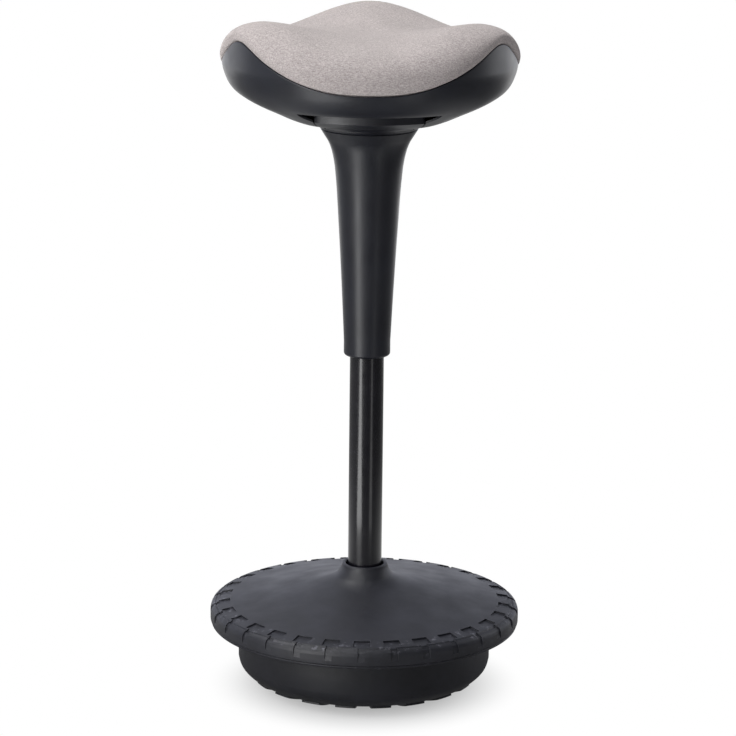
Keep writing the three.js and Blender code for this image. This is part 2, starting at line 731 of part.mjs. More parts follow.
const flangeTopZ = boardFootZ - gap;
const halfLength = channelLength / 2;

function mountPlate() {
  const inner = channelHalf - steel;
  const profile = new THREE.Shape([
    [-channelHalf, channelWebZ], [channelHalf, channelWebZ], [channelHalf, flangeTopZ - steel],
    [flangeHalf, flangeTopZ - steel], [flangeHalf, flangeTopZ], [inner, flangeTopZ],
    [inner, channelWebZ + steel], [-inner, channelWebZ + steel], [-inner, flangeTopZ],
    [-flangeHalf, flangeTopZ], [-flangeHalf, flangeTopZ - steel], [-channelHalf, flangeTopZ - steel],
  ].map(([x, z]) => new THREE.Vector2(x, z)));
  const bar = new THREE.ExtrudeGeometry(profile, { depth: channelLength, bevelEnabled: false });
  const channel = solidOf(bar.translate(0, 0, -halfLength).rotateX(quarterTurn));
  const webTopZ = channelWebZ + steel;
  const bore = disc(mountSocketRadius + gap, channelWebZ - overrun, webTopZ + overrun, hiddenSides);
  const reach = channelHalf + overrun;
  const relief = block([-reach, reach], [-halfLength - overrun, webSetback - halfLength],
    [channelWebZ - overrun, flangeTopZ - steel]);
  const pivotHole = crossPin(pivotRadius + gap, -reach, reach, pivotY, pivotZ);
  return cutBy(channel, relief, bore, pivotHole, ...boltPlaces().map(([x, y]) => disc(
    mountBoltRadius + easyGap, flangeTopZ - steel - overrun, flangeTopZ + overrun).translate([x, y, 0])));
}

function boltPlaces() {
  return [[1, 1], [-1, 1], [-1, -1], [1, -1]].map(([a, b]) => [a * mountBoltX, b * mountBoltY]);
}

function mountSocket() {
  return turned([
    [cylinderRadius + gap, mountSocketFootZ], [mountSocketRadius, mountSocketFootZ],
    [mountSocketRadius, mountSocketTopZ], [noseAt(mountSocketTopZ) + gap, mountSocketTopZ],
  ], hiddenSides);
}

const boardTopZ = boardFootZ + boardThick;
const teeRecess = teeFlangeThick + gap;
const shellScrewAngle = quarterTurn;

function seatBoard() {
  const body = ring(mountSocketRadius, boardRadius, boardFootZ, boardTopZ, seatSides / 2);
  const barrelHole = mountBoltRadius + gap + teeBarrel + gap;
  const boltHoles = boltPlaces().map(([x, y]) => joined(
    disc(barrelHole, boardFootZ - overrun, boardTopZ + overrun),
    disc(teeFlangeRadius + gap, boardTopZ - teeRecess, boardTopZ + overrun),
  ).translate([x, y, 0]));
  const pilot = disc(shellScrewRadius + gap, boardFootZ - overrun, boardFootZ + shellScrewGrip + gap);
  const pilots = aroundZ(shellScrewCount, shellScrewAngle, (angle) => placedAt(
    pilot, shellBossCircle, angle));
  return cutBy(body, ...boltHoles, ...pilots);
}

function addMount() {
  addPiece('mount_plate', mountPlate(), blackEnamel);
  addPiece('mount_socket', mountSocket(), zincSteel);
  addPiece('seat_board', seatBoard(), birchPly);
  const headTopZ = flangeTopZ - steel - gap;
  const boltTopZ = boardTopZ - gap;
  const bolt = screw(mountBoltRadius, mountBoltHead, mountBoltHeadThick, boltTopZ - headTopZ)
    .rotate([180, 0, 0]).translate([0, 0, headTopZ]);
  const teeTopZ = boardTopZ - gap / 3;
  const teeFlangeZ = teeTopZ - teeFlangeThick;
  const tee = turned([
    [mountBoltRadius + gap, boardFootZ + boardThick * 0.3],
    [mountBoltRadius + gap + teeBarrel, boardFootZ + boardThick * 0.3],
    [mountBoltRadius + gap + teeBarrel, teeFlangeZ], [teeFlangeRadius, teeFlangeZ],
    [teeFlangeRadius, teeTopZ], [mountBoltRadius + gap, teeTopZ],
  ], smallSides);
  boltPlaces().forEach(([x, y], i) => {
    addPiece(`mount_bolt_${i + 1}`, bolt.translate([x, y, 0]), zincSteel);
    addPiece(`tee_nut_${i + 1}`, tee.translate([x, y, 0]), zincSteel);
  });
}

// Sleeve: a long trumpet that snaps into the shell's neck

function sleeveLine(offset) {
  return sleeveShares.map(([up, out]) => [
    sleeveFootRadius + (sleeveHeadRadius - sleeveFootRadius) * out - offset,
    sleeveFootZ + sleeveLength * up,
  ]);
}

function columnSleeve() {
  const foot = sleeveFootRadius;
  const outer = [
    [foot - sleeveFootRound, sleeveFootZ],
    [foot - sleeveFootRound * 0.3, sleeveFootZ + sleeveFootRound * 0.3],
    [foot, sleeveFootZ + sleeveFootRound * 1.5], ...sleeveLine(0).slice(1),
  ];
  const spigotTopZ = neckZ + spigotHeight;
  const spigotInner = spigotRadius - spigotWall;
  const inner = sleeveLine(sleeveWall).filter(([r], i) => r < spigotInner && i % 3 === 0).reverse();
  const innerFoot = foot - sleeveFootRound - gap;
  const body = turned([
    ...outer, [spigotRadius, neckZ], [spigotRadius, spigotTopZ], [spigotInner, spigotTopZ],
    [spigotInner, neckZ - spigotWall], ...inner.slice(0, -1), [innerFoot, sleeveFootZ + sleeveFootRound],
    [innerFoot, sleeveFootZ],
  ], tubeSides);
  const barbFootZ = neckZ + gap + shellWall + 2 * gap;
  const barb = block([spigotRadius - spigotWall / 2, spigotRadius + barbReach],
    [-barbWidth / 2, barbWidth / 2], [barbFootZ, barbFootZ + barbThick]);
  return joined(body, ...aroundZ(barbCount, quarterTurn / 2, (angle) => spin(barb, angle)));
}

// Seat shell: a bowl of revolution whose rim rises in three lobes

const lobeAngle = quarterTurn; // one lobe points back
const shellFootZ = neckZ + gap;

const swellAt = (angle) => (1 + Math.cos(3 * (angle - lobeAngle))) / 2;

function rimZ(angle) {
  const flank = swellAt(angle) ** scallopSharpness;
  const crest = swellAt(angle) ** crestSharpness;
  return rimLowZ + lobeHeight * (flank + (crest - flank) * crestShare);
}

const bellyLine = bellyShares.map(([out, up]) => [
  sleeveHeadRadius + (bellyRadius - sleeveHeadRadius) * out,
  shellFootZ + (bellyZ - shellFootZ) * up,
]);

const bellyRadiusAt = (z) => between(bellyLine, z, 0, 1);
const bellyHeightAt = (r) => between(bellyLine, r, 1, 0);

const anglesRound = Array.from({ length: seatSides }, (_, i) => frontAngle + (turn * i) / seatSides);
const ringOf = (pointAt) => anglesRound.map((angle) => {
  const [r, z] = pointAt(angle);
  return [...polar(r, angle), z];
});

function seatShellBody() {
  const lower = bellyLine.filter(([, z]) => z < rimLowZ - shellWall);
  const [, wallZ] = lower[lower.length - 1];
  const neckHole = spigotRadius + gap;
  const wallPoint = (share, offset, drop) => (angle) => {
    const z = wallZ + (rimZ(angle) - drop - wallZ) * share;
    return [bellyRadiusAt(z) - offset, z];
  };
  const innerLower = lower.filter((_, i) => i % 2 === 1 || 2 * i > lower.length).map(([r, z]) => [
    r - shellWall * (z - shellFootZ) / (bellyZ - shellFootZ),
    z + shellWall * (1 - (z - shellFootZ) / (bellyZ - shellFootZ)),
  ]);
  const rings = [
    ringOf(() => [neckHole, shellFootZ]),
    ...lower.map(([r, z]) => ringOf(() => [r, z])),
    ...rimStepShares.slice(0, -1).map((share) => ringOf(wallPoint(share, 0, 0))),
    ringOf(wallPoint(1, 0, rimChamfer)),
    ringOf(wallPoint(1, rimChamfer, 0)),
    ringOf(wallPoint(1, shellWall, 0)),
    ...rimStepShares.slice(0, -1).reverse().map((share) => ringOf(wallPoint(share, shellWall, 0))),
    ...innerLower.reverse().map(([r, z]) => ringOf(() => [r, z])),
    ringOf(() => [sleeveHeadRadius, shellFootZ + shellWall]),
    ringOf(() => [neckHole, shellFootZ + shellWall]),
  ];
  return loft(rings, lower.length + rimStepShares.length + 2);
}

// Plan outline of the finger slot and the paddle's opening
function slotShape() {
  const tipAngle = Math.asin(slotTipX / slotRadius);
  const open = easyGap;
  const rear = paddleRearRadius - open;
  const rearX = paddleRearX + open;
  const cornerY = -Math.sqrt(paddleFaceRadius ** 2 - paddleCornerX ** 2);
  const rearY = -Math.sqrt(rear ** 2 - rearX ** 2);
  const tipY = -Math.sqrt(slotRadius ** 2 - slotTipX ** 2);
  const shape = new THREE.Shape();
  shape.absarc(0, 0, slotRadius, frontAngle - tipAngle, frontAngle + tipAngle, false);
  shape.quadraticCurveTo(slotTipX * 0.96, (tipY + cornerY) / 2, paddleCornerX + 2 * open, cornerY - open);
  shape.lineTo(rearX, rearY);
  const rearAngle = Math.asin(rearX / rear);
  shape.absarc(0, 0, rear, frontAngle + rearAngle, frontAngle - rearAngle, true);
  shape.lineTo(-paddleCornerX - 2 * open, cornerY - open);
  shape.quadraticCurveTo(-slotTipX * 0.96, (tipY + cornerY) / 2, -slotTipX, tipY);
  return shape;
}

const bossFootZ = bellyHeightAt(shellBossCircle);
const shellBossTopZ = boardFootZ - coverThick - 3 * gap;
const shellScrewSeatZ = bossFootZ + 2 * shellWall;

function seatShell() {
  const bosses = aroundZ(shellScrewCount, shellScrewAngle, (angle) => placedAt(
    disc(bossRadius, bossFootZ + shellWall / 2, shellBossTopZ), shellBossCircle, angle));
  const holes = aroundZ(shellScrewCount, shellScrewAngle, (angle) => placedAt(joined(
    disc(shellScrewRadius + gap, bossFootZ - shellWall, shellBossTopZ + overrun),
    disc(shellScrewHead + gap, bossFootZ - 2 * shellWall, shellScrewSeatZ),
  ), shellBossCircle, angle));
  const window = raised(slotShape(), neckZ - overrun, bellyHeightAt(slotRadius) + 2 * shellWall, smallSides);
  return cutBy(joined(seatShellBody(), ...bosses), ...holes, window);
}

// The paddle fills the rear of the opening, flush with the shell's underside
function paddleShape() {
  const faceY = -Math.sqrt(paddleFaceRadius ** 2 - paddleFlatX ** 2);
  const cornerY = -Math.sqrt(paddleFaceRadius ** 2 - paddleCornerX ** 2);
  const rearY = -Math.sqrt(paddleRearRadius ** 2 - paddleRearX ** 2);
  const flatAngle = Math.asin(paddleFlatX / paddleFaceRadius);
  const rearAngle = Math.asin(paddleRearX / paddleRearRadius);
  const shape = new THREE.Shape();
  shape.moveTo(-paddleFlatX, faceY);
  shape.absarc(0, 0, paddleFaceRadius, frontAngle - flatAngle, frontAngle + flatAngle, false);
  shape.lineTo(paddleCornerX, cornerY + easyGap);
  shape.lineTo(paddleRearX, rearY);
  shape.absarc(0, 0, paddleRearRadius, frontAngle + rearAngle, frontAngle - rearAngle, true);
  shape.lineTo(-paddleCornerX, cornerY + easyGap);
  return shape;
}

function releasePaddle() {
  const under = bellyLine.filter(([r, z]) => r < slotRadius && z > shellFootZ);
  const thickAt = (r) => THREE.MathUtils.mapLinear(
    r, paddleRearRadius, paddleFaceRadius, paddleRearThick, paddleThick);
  const near = [sleeveHeadRadius, bellyHeightAt(sleeveHeadRadius)];
  const line = [near, ...under];
  const skin = turned([...line, ...line.map(([r, z]) => [r, z + thickAt(r)]).reverse()], seatSides);
  const plan = raised(paddleShape(), neckZ - overrun, boardFootZ, smallSides / 2);
  const leverFootZ = valveTopZ + gap;
  const half = leverWidth / 2;
  const leverFrontY = -(paddleRearRadius + paddleFaceRadius) / 2;
  const webRearY = leverFrontY + paddleWeb;
  const lever = joined(
    block([-half, half], [leverFrontY, leverTail], [leverFootZ, leverFootZ + leverThick]),
    block([-half, half], [leverFrontY, webRearY],
      [bellyHeightAt(-webRearY) + paddleRearThick / 2, leverFootZ + leverThick / 2]),
    crossPin(pivotBoss, -half - pivotRadius, half + pivotRadius, pivotY, pivotZ),
  );
  const bore = crossPin(pivotRadius + gap, -half - 2 * overrun, half + 2 * overrun, pivotY, pivotZ);
  return joined(skin.intersect(plan), lever).subtract(bore);
}

function pivotPin() {
  const headX = channelHalf + gap;
  const grooveX = channelHalf + 2 * gap;
  const endX = grooveX + pivotHeadThick + 3 * gap;
  return joined(
    crossPin(pivotHead, -headX - pivotHeadThick, -headX, pivotY, pivotZ),
    crossPin(pivotRadius, -headX - pivotHeadThick / 2, headX, pivotY, pivotZ),
    crossPin(pivotNeckRadius, headX - gap, endX, pivotY, pivotZ),
    crossPin(pivotRadius, endX - gap, endX + gap, pivotY, pivotZ),
  );
}

function pivotClip() {
  const fromX = channelHalf + 2 * gap;
  const toX = fromX + pivotHeadThick;
  return cutBy(
    crossPin(pivotHead, fromX, toX, pivotY, pivotZ),
    crossPin(pivotNeckRadius + gap, fromX - overrun, toX + overrun, pivotY, pivotZ),
    block([fromX - overrun, toX + overrun], [pivotY - pivotRadius / 2, pivotY + pivotRadius / 2],
      [pivotZ, pivotZ + pivotHead + overrun]),
  );
}

function addShell() {
  addPiece('column_sleeve', columnSleeve(), blackPlastic);
  addPiece('seat_shell', seatShell(), blackPlastic);
  addPiece('release_paddle', releasePaddle(), blackPlastic);
  addPiece('pivot_pin', pivotPin(), brightSteel);
  addPiece('pivot_clip', pivotClip(), zincSteel);
  const tipZ = boardFootZ + shellScrewGrip;
  const seatZ = shellScrewSeatZ - gap;
  const fixing = screw(shellScrewRadius, shellScrewHead, shellScrewRadius, tipZ - seatZ)
    .rotate([180, 0, 0]).translate([0, 0, seatZ]);
  aroundZ(shellScrewCount, shellScrewAngle, (angle, i) => addPiece(
    `shell_screw_${i + 1}`, placedAt(fixing, shellBossCircle, angle), zincSteel));
}

// Cushion: foam under a stretched fabric cover, both following the scalloped rim

function shoulderZ(angle) {
  const lobe = (lobeHeight - valleyFill) * swellAt(angle) ** fillSharpness;
  return rimLowZ + cushionRise + valleyFill + lobe;
}

function cushionRings(inset, footZ) {
  const wall = shellWall + gap + inset;
  const insideShares = [0, 1];
  const sideTopZ = (angle) => rimZ(angle) + gap;
  const inside = insideShares.map((share) => ringOf((angle) => {
    const z = footZ + (sideTopZ(angle) - footZ) * share;
    return [bellyRadiusAt(z) - wall, z];
  }));
  const roll = rollShares.map((share) => ringOf((angle) => {
    const phase = share * quarterTurn;
    const middleZ = rimZ(angle) + cushionBulgeRise;
    const reach = (share > 0 ? cushionRoll : cushionTuck) - inset;
    const climb = share > 0 ? shoulderZ(angle) - middleZ - inset : cushionBulgeRise;
    const radius = cushionRadius - inset - reach * (1 - Math.cos(phase));
    return [radius, middleZ + climb * Math.sin(phase)];
  }));
  const crown = crownShares.map((share) => ringOf((angle) => {
    const rise = (shoulderZ(angle) - crownZ) * share ** crownSharpness;
    return [cushionShoulder * share, crownZ - inset + rise];
  }));
  return [...inside, ...roll, ...crown, ringOf(() => [0, crownZ - inset])];
}

function seatFoam() {
  const footZ = boardTopZ + gap;
  return loft([ringOf(() => [0, footZ]), ...cushionRings(coverThick + gap, footZ)]);
}

function seatCover() {
  const hemTopZ = boardFootZ - gap;
  const hemFootZ = hemTopZ - coverThick;
  const edge = boardRadius + gap;
  const outer = cushionRings(0, boardTopZ);
  const inner = cushionRings(coverThick, boardTopZ + gap);
  const rings = [
    ringOf(() => [edge - hemWidth, hemFootZ]),
    ringOf(() => [edge + coverThick / 2, hemFootZ]),
    ringOf(() => [edge + coverThick, hemTopZ]),
    ...outer,
    ...inner.reverse(),
    ringOf(() => [edge, boardTopZ + gap]),
    ringOf(() => [edge, hemTopZ]),
    ringOf(() => [edge - hemWidth, hemTopZ]),
  ];
  return loft(rings, outer.length + 2);
}

function addCushion() {
  addPiece('seat_foam', seatFoam(), paleFoam);
  addPiece('seat_cover', seatCover(), fabricGrey);
}

addBase();
addColumn();
addLift();
addMount();
addShell();
addCushion();

export default stool;
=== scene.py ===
import math

import bmesh
import bpy
from mathutils import Matrix, Vector


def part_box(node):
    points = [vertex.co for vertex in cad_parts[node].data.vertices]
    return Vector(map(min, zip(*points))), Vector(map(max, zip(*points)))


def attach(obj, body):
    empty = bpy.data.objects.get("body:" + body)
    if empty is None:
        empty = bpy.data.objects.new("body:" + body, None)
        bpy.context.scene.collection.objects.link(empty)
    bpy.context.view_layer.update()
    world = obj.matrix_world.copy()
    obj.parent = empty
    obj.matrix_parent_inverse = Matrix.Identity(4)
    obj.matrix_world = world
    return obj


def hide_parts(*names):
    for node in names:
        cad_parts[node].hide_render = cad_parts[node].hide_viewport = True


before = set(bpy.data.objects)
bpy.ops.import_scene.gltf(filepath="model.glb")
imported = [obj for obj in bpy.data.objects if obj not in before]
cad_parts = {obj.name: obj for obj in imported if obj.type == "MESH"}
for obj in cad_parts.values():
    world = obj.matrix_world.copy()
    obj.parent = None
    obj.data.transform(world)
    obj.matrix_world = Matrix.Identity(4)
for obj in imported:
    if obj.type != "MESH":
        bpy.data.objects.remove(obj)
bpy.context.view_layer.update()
mm = 0.001
turn = 2 * math.pi
front = -turn / 4  # the paddle's side, -Y
noiseLow, noiseHigh = 0.3, 0.7  # a noise texture seldom leaves these
print("frame loaded:", len(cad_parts), "CAD nodes")


# Working in the viewport

def clearAll():
    if bpy.context.object is not None and bpy.context.object.mode != "OBJECT":
        bpy.ops.object.mode_set(mode="OBJECT")
    bpy.ops.object.select_all(action="DESELECT")


def pick(piece):
    clearAll()
    bpy.context.view_layer.objects.active = piece
    piece.select_set(True)


def editPiece(piece, mode="FACE"):
    pick(piece)
    bpy.ops.object.mode_set(mode="EDIT")
    bpy.ops.mesh.select_mode(type=mode)
    bpy.ops.mesh.select_all(action="DESELECT")


def selectFaces(piece, wanted):
    # picks the faces whose middle, in mm, passes the test
    editPiece(piece)
    shape = bmesh.from_edit_mesh(piece.data)
    for face in shape.faces:
        middle = face.calc_center_median() / mm
        face.select_set(bool(wanted(middle, face)))
    bmesh.update_edit_mesh(piece.data)


def moveVertices(piece, place):
    # place takes and gives a point in mm
    pick(piece)
    for vertex in piece.data.vertices:
        vertex.co = Vector(place(vertex.co / mm)) * mm
    piece.data.update()


def applyModifier(piece, kind, **settings):
    pick(piece)
    modifier = piece.modifiers.new(kind.lower(), kind)
    for key, value in settings.items():
        setattr(modifier, key, value)
    bpy.ops.object.modifier_apply(modifier=modifier.name)


def tidyMesh(piece, smoothAngle=35):
    editPiece(piece, "VERT")
    bpy.ops.mesh.select_all(action="SELECT")
    bpy.ops.mesh.remove_doubles(threshold=0.005 * mm)
    bpy.ops.mesh.normals_make_consistent(inside=False)
    bpy.ops.object.mode_set(mode="OBJECT")
    bpy.ops.object.shade_smooth_by_angle(angle=math.radians(smoothAngle))


def bevelEdges(piece, width, angle=40, segments=2):
    applyModifier(piece, "BEVEL", width=width * mm, segments=segments, limit_method="ANGLE",
                  angle_limit=math.radians(angle), harden_normals=False)


# Outlines

def smoothLine(points, steps):
    # a curve through the points, the same number of steps between each two
    first = [2 * a - b for a, b in zip(points[0], points[1])]
    last = [2 * a - b for a, b in zip(points[-1], points[-2])]
    path = [first, *points, last]
    line = []
    for before, here, there, after in zip(path, path[1:], path[2:], path[3:]):
        for step in range(steps):
            t = step / steps
            line.append(tuple(
                0.5 * (2 * b + (c - a) * t + (2 * a - 5 * b + 4 * c - d) * t ** 2
                       + (3 * b - a - 3 * c + d) * t ** 3)
                for a, b, c, d in zip(before, here, there, after)))
    return [*line, tuple(points[-1])]


def arc(middle, radius, fromAngle, toAngle, steps=4):
    # an arc in the outline, angles in degrees from outwards, up positive
    angles = [math.radians(fromAngle + (toAngle - fromAngle) * i / steps) for i in range(steps + 1)]
    return [(middle[0] + radius * math.cos(a), middle[1] + radius * math.sin(a)) for a in angles]


def sweep(radius, angle, half):
    # points in plan on an arc about Z, from -angle to angle off the front in twice half steps
    return [(radius * math.sin(a), -radius * math.cos(a))
            for a in (angle * (i / half - 1) for i in range(2 * half + 1))]


def readOff(line, at, key, value):
    # value of an outline where its other coordinate passes at
    for low, high in zip(line, line[1:]):
        if low[key] <= at <= high[key]:
            share = (at - low[key]) / max(high[key] - low[key], 1e-9)
            return low[value] + (high[value] - low[value]) * share
    return line[-1][value] if at > line[-1][key] else line[0][value]


def turnedPiece(name, line, sides, pole=False):
    # an outline of (radius, height) turned about Z ring by ring, closed on its first ring or at a pole
    clearAll()
    radius, height = line[0]
    bpy.ops.mesh.primitive_circle_add(vertices=sides, radius=radius * mm, location=(0, 0, height * mm))
    piece = bpy.context.object
    piece.name = name
    bpy.ops.object.mode_set(mode="EDIT")
    bpy.ops.mesh.select_all(action="SELECT")
    for nextRadius, nextHeight in [*line[1:], *([] if pole else line[:1])]:
        rise = (0, 0, (nextHeight - height) * mm)
        share = nextRadius / radius
        bpy.ops.mesh.extrude_edges_move(TRANSFORM_OT_translate={"value": rise})
        bpy.ops.transform.resize(value=(share, share, 1), center_override=(0, 0, nextHeight * mm))
        radius, height = nextRadius, nextHeight
    if pole:
        bpy.ops.mesh.edge_face_add()
    bpy.ops.object.mode_set(mode="OBJECT")
    bpy.ops.object.transform_apply()
    tidyMesh(piece)
    return piece


def angleOf(point):
    return math.atan2(point[1], point[0])


def offFrom(point, firstAngle, count):
    # angle in degrees from the nearest of count even places
    pitch = turn / count
    off = (angleOf(point) - firstAngle + pitch / 2) % pitch - pitch / 2
    return math.degrees(off)


# Materials

def linear(hexColour):
    parts = [int(hexColour[i:i + 2], 16) / 255 for i in (1, 3, 5)]
    return (*[c / 12.92 if c <= 0.04045 else ((c + 0.055) / 1.055) ** 2.4 for c in parts], 1)


def addNode(tree, kind, settings=None, links=None):
    node = tree.nodes.new(kind)
    for key, value in (settings or {}).items():
        if isinstance(key, int) or key in node.inputs:
            node.inputs[key].default_value = value
        else:
            setattr(node, key, value)
    for key, source in (links or {}).items():
        tree.links.new(source, node.inputs[key])
    return node


def newMaterial(name, **sockets):
    material = bpy.data.materials.new(name)
    material.use_nodes = True
    shader = material.node_tree.nodes["Principled BSDF"]
    for key, value in sockets.items():
        shader.inputs[key.replace("_", " ")].default_value = value
    return material, material.node_tree, shader


def mottle(tree, shader, place, low, high, size, detail=3):
    # two near colours in soft patches of about size mm
    noise = addNode(tree, "ShaderNodeTexNoise", {"Scale": 1 / (size * mm), "Detail": detail},
                    {"Vector": place})
    ramp = addNode(tree, "ShaderNodeValToRGB", links={"Fac": noise.outputs["Fac"]})
    for stop, at, colour in zip(ramp.color_ramp.elements, (0.35, 0.65), (low, high)):
        stop.position, stop.color = at, linear(colour)
    tree.links.new(ramp.outputs["Color"], shader.inputs["Base Color"])
    return ramp


def uneven(tree, shader, place, low, high, size):
    # roughness that wanders between two values
    noise = addNode(tree, "ShaderNodeTexNoise", {"Scale": 1 / (size * mm), "Detail": 4}, {"Vector": place})
    spread = addNode(tree, "ShaderNodeMapRange", {
        "From Min": noiseLow, "From Max": noiseHigh, "To Min": low, "To Max": high},
        {"Value": noise.outputs["Fac"]})
    tree.links.new(spread.outputs["Result"], shader.inputs["Roughness"])


def grain(tree, shader, place, size, depth):
    # bumps of about size mm, depth mm high
    noise = addNode(tree, "ShaderNodeTexNoise", {"Scale": 1 / (size * mm), "Detail": 3}, {"Vector": place})
    bump = addNode(tree, "ShaderNodeBump", {"Strength": 1, "Distance": depth * mm},
                   {"Height": noise.outputs["Fac"]})
    tree.links.new(bump.outputs["Normal"], shader.inputs["Normal"])


def grainedMaterial(name, colours, patch, roughness, wander, bump, depth,
                    detail=3, stretch=None, **sockets):
    # patch, wander and bump are the sizes in mm of what varies; stretch follows how it was made
    material, tree, shader = newMaterial(name, **sockets)
    place = addNode(tree, "ShaderNodeTexCoord").outputs["Object"]
    if stretch:
        place = addNode(tree, "ShaderNodeMapping", {"Scale": stretch}, {"Vector": place}).outputs["Vector"]
    mottle(tree, shader, place, *colours, patch, detail)
    uneven(tree, shader, place, *roughness, wander)
    grain(tree, shader, place, bump, depth)
    return material


scuffs = {
    "size": 7,
    "patch": 26,
    "rubbed": (0.53, 0.66),  # noise levels over which a rub fades in,
    "patched": (0.44, 0.58),  # and a patch of rubs
    "inner": (158, 166),  # radius where they begin
    "outer": (181, 183.5),  # and where they end
    "most": 0.75,
    "colour": "#72727c",
}


def scuffed(tree, shader, place, clean):
    # thin paler rubs in patches round the rim
    kit = scuffs
    rub = addNode(tree, "ShaderNodeTexNoise", {
        "Scale": 1 / (kit["size"] * mm), "Detail": 6, "Roughness": 0.7}, {"Vector": place})
    patch = addNode(tree, "ShaderNodeTexNoise", {"Scale": 1 / (kit["patch"] * mm), "Detail": 1},
                    {"Vector": place})
    flat = addNode(tree, "ShaderNodeVectorMath", {"operation": "MULTIPLY", 1: (1, 1, 0)}, {0: place})
    away = addNode(tree, "ShaderNodeVectorMath", {"operation": "LENGTH"}, {0: flat.outputs["Vector"]})
    inner, outer = ([radius * mm for radius in kit[key]] for key in ("inner", "outer"))
    shares = [addNode(tree, "ShaderNodeMapRange", {
        "interpolation_type": "SMOOTHSTEP", "From Min": low, "From Max": high, "To Min": 0, "To Max": most},
        {"Value": source}).outputs["Result"] for source, (low, high), most in (
            (rub.outputs["Fac"], kit["rubbed"], kit["most"]), (patch.outputs["Fac"], kit["patched"], 1),
            (away.outputs["Value"], inner, 1), (away.outputs["Value"], outer[::-1], 1))]
    mask = shares[0]
    for share in shares[1:]:
        mask = addNode(tree, "ShaderNodeMath", {"operation": "MULTIPLY"}, {0: mask, 1: share}).outputs[0]
    mix = addNode(tree, "ShaderNodeMix", {"data_type": "RGBA", 7: linear(kit["colour"])},
                  {0: mask, 6: clean.outputs["Color"]})
    tree.links.new(mix.outputs[2], shader.inputs["Base Color"])


def mouldedRubber():
    # rubber pressed in a grained mould: a soft dull sheen, a touch bluish, scuffed paler round the rim
    material, tree, shader = newMaterial("rubber_moulded", IOR=1.52)
    place = addNode(tree, "ShaderNodeTexCoord").outputs["Object"]
    scuffed(tree, shader, place, mottle(tree, shader, place, "#212229", "#282931", 45))
    uneven(tree, shader, place, 0.44, 0.56, 30)
    grain(tree, shader, place, 1.6, 0.05)  # real grain is about 0.4 mm, drawn coarser so that it shows
    return material


wovenFabric = {
    "thread": 1.3,  # spacing; the real melange's threads are about 0.5, too fine to show
    "cross": 0.35,  # how far the threads wander
    "fleck": 1,
    "fleckRun": 0.3,  # a fleck's width as a share of its length
    "dark": "#938b8a",
    "base": "#afa6a4",
    "light": "#cac3c1",
    "levels": (0.36, 0.5, 0.66),  # where the flecks turn dark, base and light
    "cloud": 38,
    "cloudShade": (0.94, 1.04),
    "sheen": "#e9e2dd",
    "roughness": (0.86, 0.96),
    "bump": 0.13,
}


def greyMelange():
    # plain-woven polyester of light and dark yarns: matt, warm grey with random flecks along both threads
    kit = wovenFabric
    material, tree, shader = newMaterial("polyester_melange_woven", IOR=1.45, Sheen_Weight=0.35,
                                         Sheen_Roughness=0.5, Sheen_Tint=linear(kit["sheen"]))
    place = addNode(tree, "ShaderNodeTexCoord").outputs["Object"]
    flecks = []
    for stretch in ((kit["fleckRun"], 1, 1), (1, kit["fleckRun"], 1)):
        along = addNode(tree, "ShaderNodeMapping", {"Scale": stretch}, {"Vector": place}).outputs["Vector"]
        fleck = addNode(tree, "ShaderNodeTexNoise", {"Scale": 1 / (kit["fleck"] * mm), "Detail": 2},
                        {"Vector": along})
        flecks.append(fleck.outputs["Fac"])
    threads = []
    for direction in ("X", "Y"):
        wave = addNode(tree, "ShaderNodeTexWave", {
            "wave_type": "BANDS", "bands_direction": direction,
            "Scale": turn / 20 / (kit["thread"] * mm),  # at scale 1 a band comes every turn / 20
            "Distortion": kit["cross"], "Detail": 2, "Detail Scale": 3}, {"Vector": place})
        threads.append(wave.outputs["Fac"])
    mix = addNode(tree, "ShaderNodeMath", {"operation": "ADD"}, {0: flecks[0], 1: flecks[1]})
    half = addNode(tree, "ShaderNodeMath", {"operation": "MULTIPLY", 1: 0.5}, {0: mix.outputs[0]})
    ramp = addNode(tree, "ShaderNodeValToRGB", links={"Fac": half.outputs[0]})
    stops, levels = ramp.color_ramp.elements, kit["levels"]
    stops[0].position, stops[0].color = levels[0], linear(kit["dark"])
    stops[1].position, stops[1].color = levels[2], linear(kit["light"])
    stops.new(levels[1]).color = linear(kit["base"])
    cloud = addNode(tree, "ShaderNodeTexNoise", {"Scale": 1 / (kit["cloud"] * mm), "Detail": 3},
                    {"Vector": place})
    shade = addNode(tree, "ShaderNodeMapRange", {
        "From Min": noiseLow, "From Max": noiseHigh, "To Min": kit["cloudShade"][0],
        "To Max": kit["cloudShade"][1]}, {"Value": cloud.outputs["Fac"]})
    tinted = addNode(tree, "ShaderNodeMix", {"data_type": "RGBA", "blend_type": "MULTIPLY", 0: 1},
                     {6: ramp.outputs["Color"], 7: shade.outputs["Result"]})
    tree.links.new(tinted.outputs[2], shader.inputs["Base Color"])
    uneven(tree, shader, place, *kit["roughness"], 8)
    weave = addNode(tree, "ShaderNodeMath", {"operation": "MAXIMUM"}, {0: threads[0], 1: threads[1]})
    woolly = addNode(tree, "ShaderNodeMath", {"operation": "ADD"}, {0: weave.outputs[0], 1: half.outputs[0]})
    bump = addNode(tree, "ShaderNodeBump", {"Strength": 1, "Distance": kit["bump"] * mm},
                   {"Height": woolly.outputs[0]})
    tree.links.new(bump.outputs["Normal"], shader.inputs["Normal"])
    return material


rubber = mouldedRubber()
# polypropylene from a finely etched mould: satin, near black
plastic = grainedMaterial(
    "polypropylene_etched", colours=("#1c1d24", "#21232b"), patch=60, roughness=(0.33, 0.43), wander=40,
    bump=1.2, depth=0.03, IOR=1.49)  # real etching is about 0.2 mm, drawn coarser so that it shows
